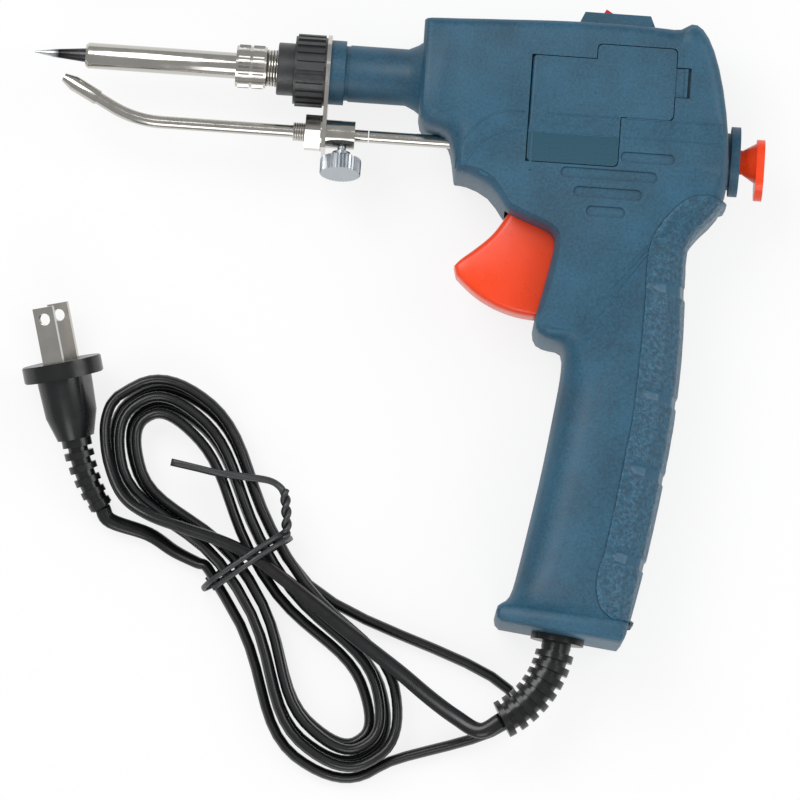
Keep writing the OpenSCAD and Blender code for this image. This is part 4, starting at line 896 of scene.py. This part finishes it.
def make_floor():
    """Pale floor that keeps the shadow and shows white."""
    material, tree, shader = surface("White card", linear("#f7f7f7"), 0.9)
    paths = node(tree, "ShaderNodeLightPath")
    seen = node(
        tree, "ShaderNodeMath", {0: paths.outputs["Is Camera Ray"], 1: paths.outputs["Is Glossy Ray"]},
        operation="MAXIMUM",
    )
    share = node(tree, "ShaderNodeMath", {0: seen.outputs["Value"]}, operation="MULTIPLY")
    share.inputs[1].default_value = FLOOR_GLOW
    glow = node(tree, "ShaderNodeEmission", Strength=1.0)
    blend = node(
        tree, "ShaderNodeMixShader",
        {0: share.outputs["Value"], 1: shader.outputs["BSDF"], 2: glow.outputs["Emission"]},
    )
    tree.links.new(blend.outputs["Shader"], tree.nodes["Material Output"].inputs["Surface"])
    mesh = bpy.data.meshes.new("floor")
    corners = [(x * FLOOR_REACH, y * FLOOR_REACH, 0) for x, y in ((-1, -1), (1, -1), (1, 1), (-1, 1))]
    mesh.from_pydata(corners, [], [(0, 1, 2, 3)])
    mesh.materials.append(material)
    floor = bpy.data.objects.new("floor", mesh)
    bpy.context.scene.collection.objects.link(floor)


def make_world():
    """White to the camera and in reflections, softer as light."""
    world = bpy.data.worlds.new("Soft white room")
    bpy.context.scene.world = world
    world.use_nodes = True
    tree = world.node_tree
    background = tree.nodes["Background"]
    background.inputs["Color"].default_value = (1, 1, 1, 1)
    paths = node(tree, "ShaderNodeLightPath")
    strength = node(
        tree, "ShaderNodeMapRange", {"Value": paths.outputs["Is Camera Ray"]},
        To_Min=ROOM_STRENGTH, To_Max=1.0,
    )
    tree.links.new(strength.outputs["Result"], background.inputs["Strength"])


def make_lamp(name, place_at, target, size, power):
    """Square soft box turned towards a place."""
    light = bpy.data.lights.new(name, "AREA")
    light.size = size
    light.energy = power
    lamp = bpy.data.objects.new(name, light)
    bpy.context.scene.collection.objects.link(lamp)
    lamp.location = place_at
    lamp.rotation_euler = (Vector(target) - Vector(place_at)).to_track_quat("-Z", "Y").to_euler()
    return lamp


def make_camera():
    """Camera high over the gun, as in the photograph."""
    s = sizes()
    optics = bpy.data.cameras.new("camera")
    optics.sensor_width = SENSOR_WIDTH
    optics.lens = SENSOR_WIDTH * s.camera_distance / s.view_width
    optics.clip_start = 0.01
    optics.clip_end = 20
    camera = bpy.data.objects.new("camera", optics)
    bpy.context.scene.collection.objects.link(camera)
    e, r = s.camera_elevation, s.camera_roll
    right = Vector((math.cos(r), math.sin(r) * math.sin(e), math.sin(r) * math.cos(e)))
    up = Vector((-math.sin(r), math.cos(r) * math.sin(e), math.cos(r) * math.cos(e)))
    back = Vector((0, -math.cos(e), math.sin(e)))
    turn = Matrix((right, up, back)).transposed().to_4x4()
    camera.matrix_world = Matrix.Translation(on_gun(*LOOK_AT) + back * s.camera_distance) @ turn
    bpy.context.scene.camera = camera


class GUN_OT_stage(bpy.types.Operator):
    """Adds the floor, the room, the lamps and the camera"""

    bl_idname = "gun.stage"
    bl_label = "Stage"

    def execute(self, context):
        context.scene.view_settings.view_transform = "Standard"
        make_floor()
        make_world()
        for name, (place_at, size, power) in SOFT_BOXES.items():
            make_lamp(name, place_at, on_gun(*MIDDLE), size, power)
        make_camera()
        return {"FINISHED"}


class GUN_OT_lead(bpy.types.Operator):
    """Makes the mains lead and its tie, and finishes the guard and the plug"""

    bl_idname = "gun.lead"
    bl_label = "Lead, tie and plug"

    def execute(self, context):
        lead, route = make_lead()
        tie = make_tie()
        guard = finish_node("cord_guard")
        plug = finish_node("plug_body")
        blades = finish_node("plug_blades")
        return {"FINISHED"}


class GUN_OT_housing(bpy.types.Operator):
    """Finishes the two halves of the housing, the door and their screws"""

    bl_idname = "gun.housing"
    bl_label = "Housing"

    def execute(self, context):
        for name in ("left_housing", "right_housing", "housing_screws"):
            finish_node(name)
        # The door takes nylon painted darker below the step, as shade over its polished face
        polished = polished_and_shaded_below(
            "Nylon, polished, painted shade below the step", finishes().nylon, "Y", on_gun(0, POLISH_AND_SHADE_LEVEL).y, 0.1 * MM
        )
        finish_node("feed_door", material=polished)
        finish_node("door_hinge_pin", material=materials["housing_blue"])
        for line, shape in RELIEF_LINES.items():
            for place_name, stretch in LINE_STRETCHES.items():
                make_line(line + "_" + place_name, relief_points(*shape), *stretch)
        make_pad()
        return {"FINISHED"}


class GUN_OT_controls(bpy.types.Operator):
    """Finishes the trigger and the switch"""

    bl_idname = "gun.controls"
    bl_label = "Trigger and switch"

    def execute(self, context):
        for name in ("trigger", "trigger_pin", "trigger_spring", "switch_body", "switch_rocker"):
            finish_node(name)
        return {"FINISHED"}


class GUN_OT_barrel(bpy.types.Operator):
    """Finishes the nuts, the barrel and the tip"""

    bl_idname = "gun.barrel"
    bl_label = "Barrel"

    def execute(self, context):
        for name in ("heater_collar", "threaded_neck", "barrel_sleeve", "soldering_tip", "heater_core"):
            finish_node(name)
        for name in ("ribbed_nut", "knurled_nut"):
            finish_node(name, crease=KNURL_CREASE)
        thread("neck_thread", *NECK_THREAD, "nickel", "gun")
        return {"FINISHED"}


class GUN_OT_solder_path(bpy.types.Operator):
    """Finishes the funnel, the tubes and their clamp"""

    bl_idname = "gun.solder_path"
    bl_label = "Solder path"

    def execute(self, context):
        for name in (
            "solder_funnel", "inlet_guide", "rear_feed_tube", "clamp_block", "bracket_plate", "hex_nut",
            "front_tube", "tube_nozzle",
        ):
            finish_node(name)
        finish_node("thumb_screw", crease=KNURL_CREASE)
        thread("stud_thread", *STUD_THREAD, "nickel", "gun", drop=TUBE_DROP)
        return {"FINISHED"}


class GUN_OT_feed(bpy.types.Operator):
    """Finishes the feed works and the wiring in the grip"""

    bl_idname = "gun.feed"
    bl_label = "Feed and wiring"

    def execute(self, context):
        for name in (
            "feed_wheel", "drive_pinion", "feed_shaft", "pressure_arm", "pressure_arm_pin", "pressure_wheel",
            "pressure_wheel_pin", "pressure_spring", "terminal_block", "cord_clamp", "inner_lead",
        ):
            finish_node(name)
        return {"FINISHED"}


class GUN_PT_panel(bpy.types.Panel):
    """Lists the pieces of the gun"""

    bl_label = "Soldering gun"
    bl_space_type = "VIEW_3D"
    bl_region_type = "UI"
    bl_category = "Soldering gun"

    def draw(self, context):
        layout = self.layout
        for operator in OPERATORS:
            layout.operator(operator.bl_idname)
        for group in (context.scene.gun_sizes, context.scene.gun_finishes):
            for name in group.__annotations__:
                layout.prop(group, name)


OPERATORS = (
    GUN_OT_stage, GUN_OT_lead, GUN_OT_housing, GUN_OT_controls, GUN_OT_barrel, GUN_OT_solder_path,
    GUN_OT_feed,
)
CLASSES = (GunFinishes, GunSizes, *OPERATORS, GUN_PT_panel)


def register():
    for cls in CLASSES:
        bpy.utils.register_class(cls)
    bpy.types.Scene.gun_finishes = bpy.props.PointerProperty(type=GunFinishes)
    bpy.types.Scene.gun_sizes = bpy.props.PointerProperty(type=GunSizes)


def unregister():
    del bpy.types.Scene.gun_sizes
    del bpy.types.Scene.gun_finishes
    for cls in reversed(CLASSES):
        bpy.utils.unregister_class(cls)


def main():
    register()
    mix_materials()
    bpy.ops.gun.stage()
    bpy.ops.gun.lead()
    bpy.ops.gun.housing()
    bpy.ops.gun.controls()
    bpy.ops.gun.barrel()
    bpy.ops.gun.solder_path()
    bpy.ops.gun.feed()


if __name__ == "__main__":
    main()
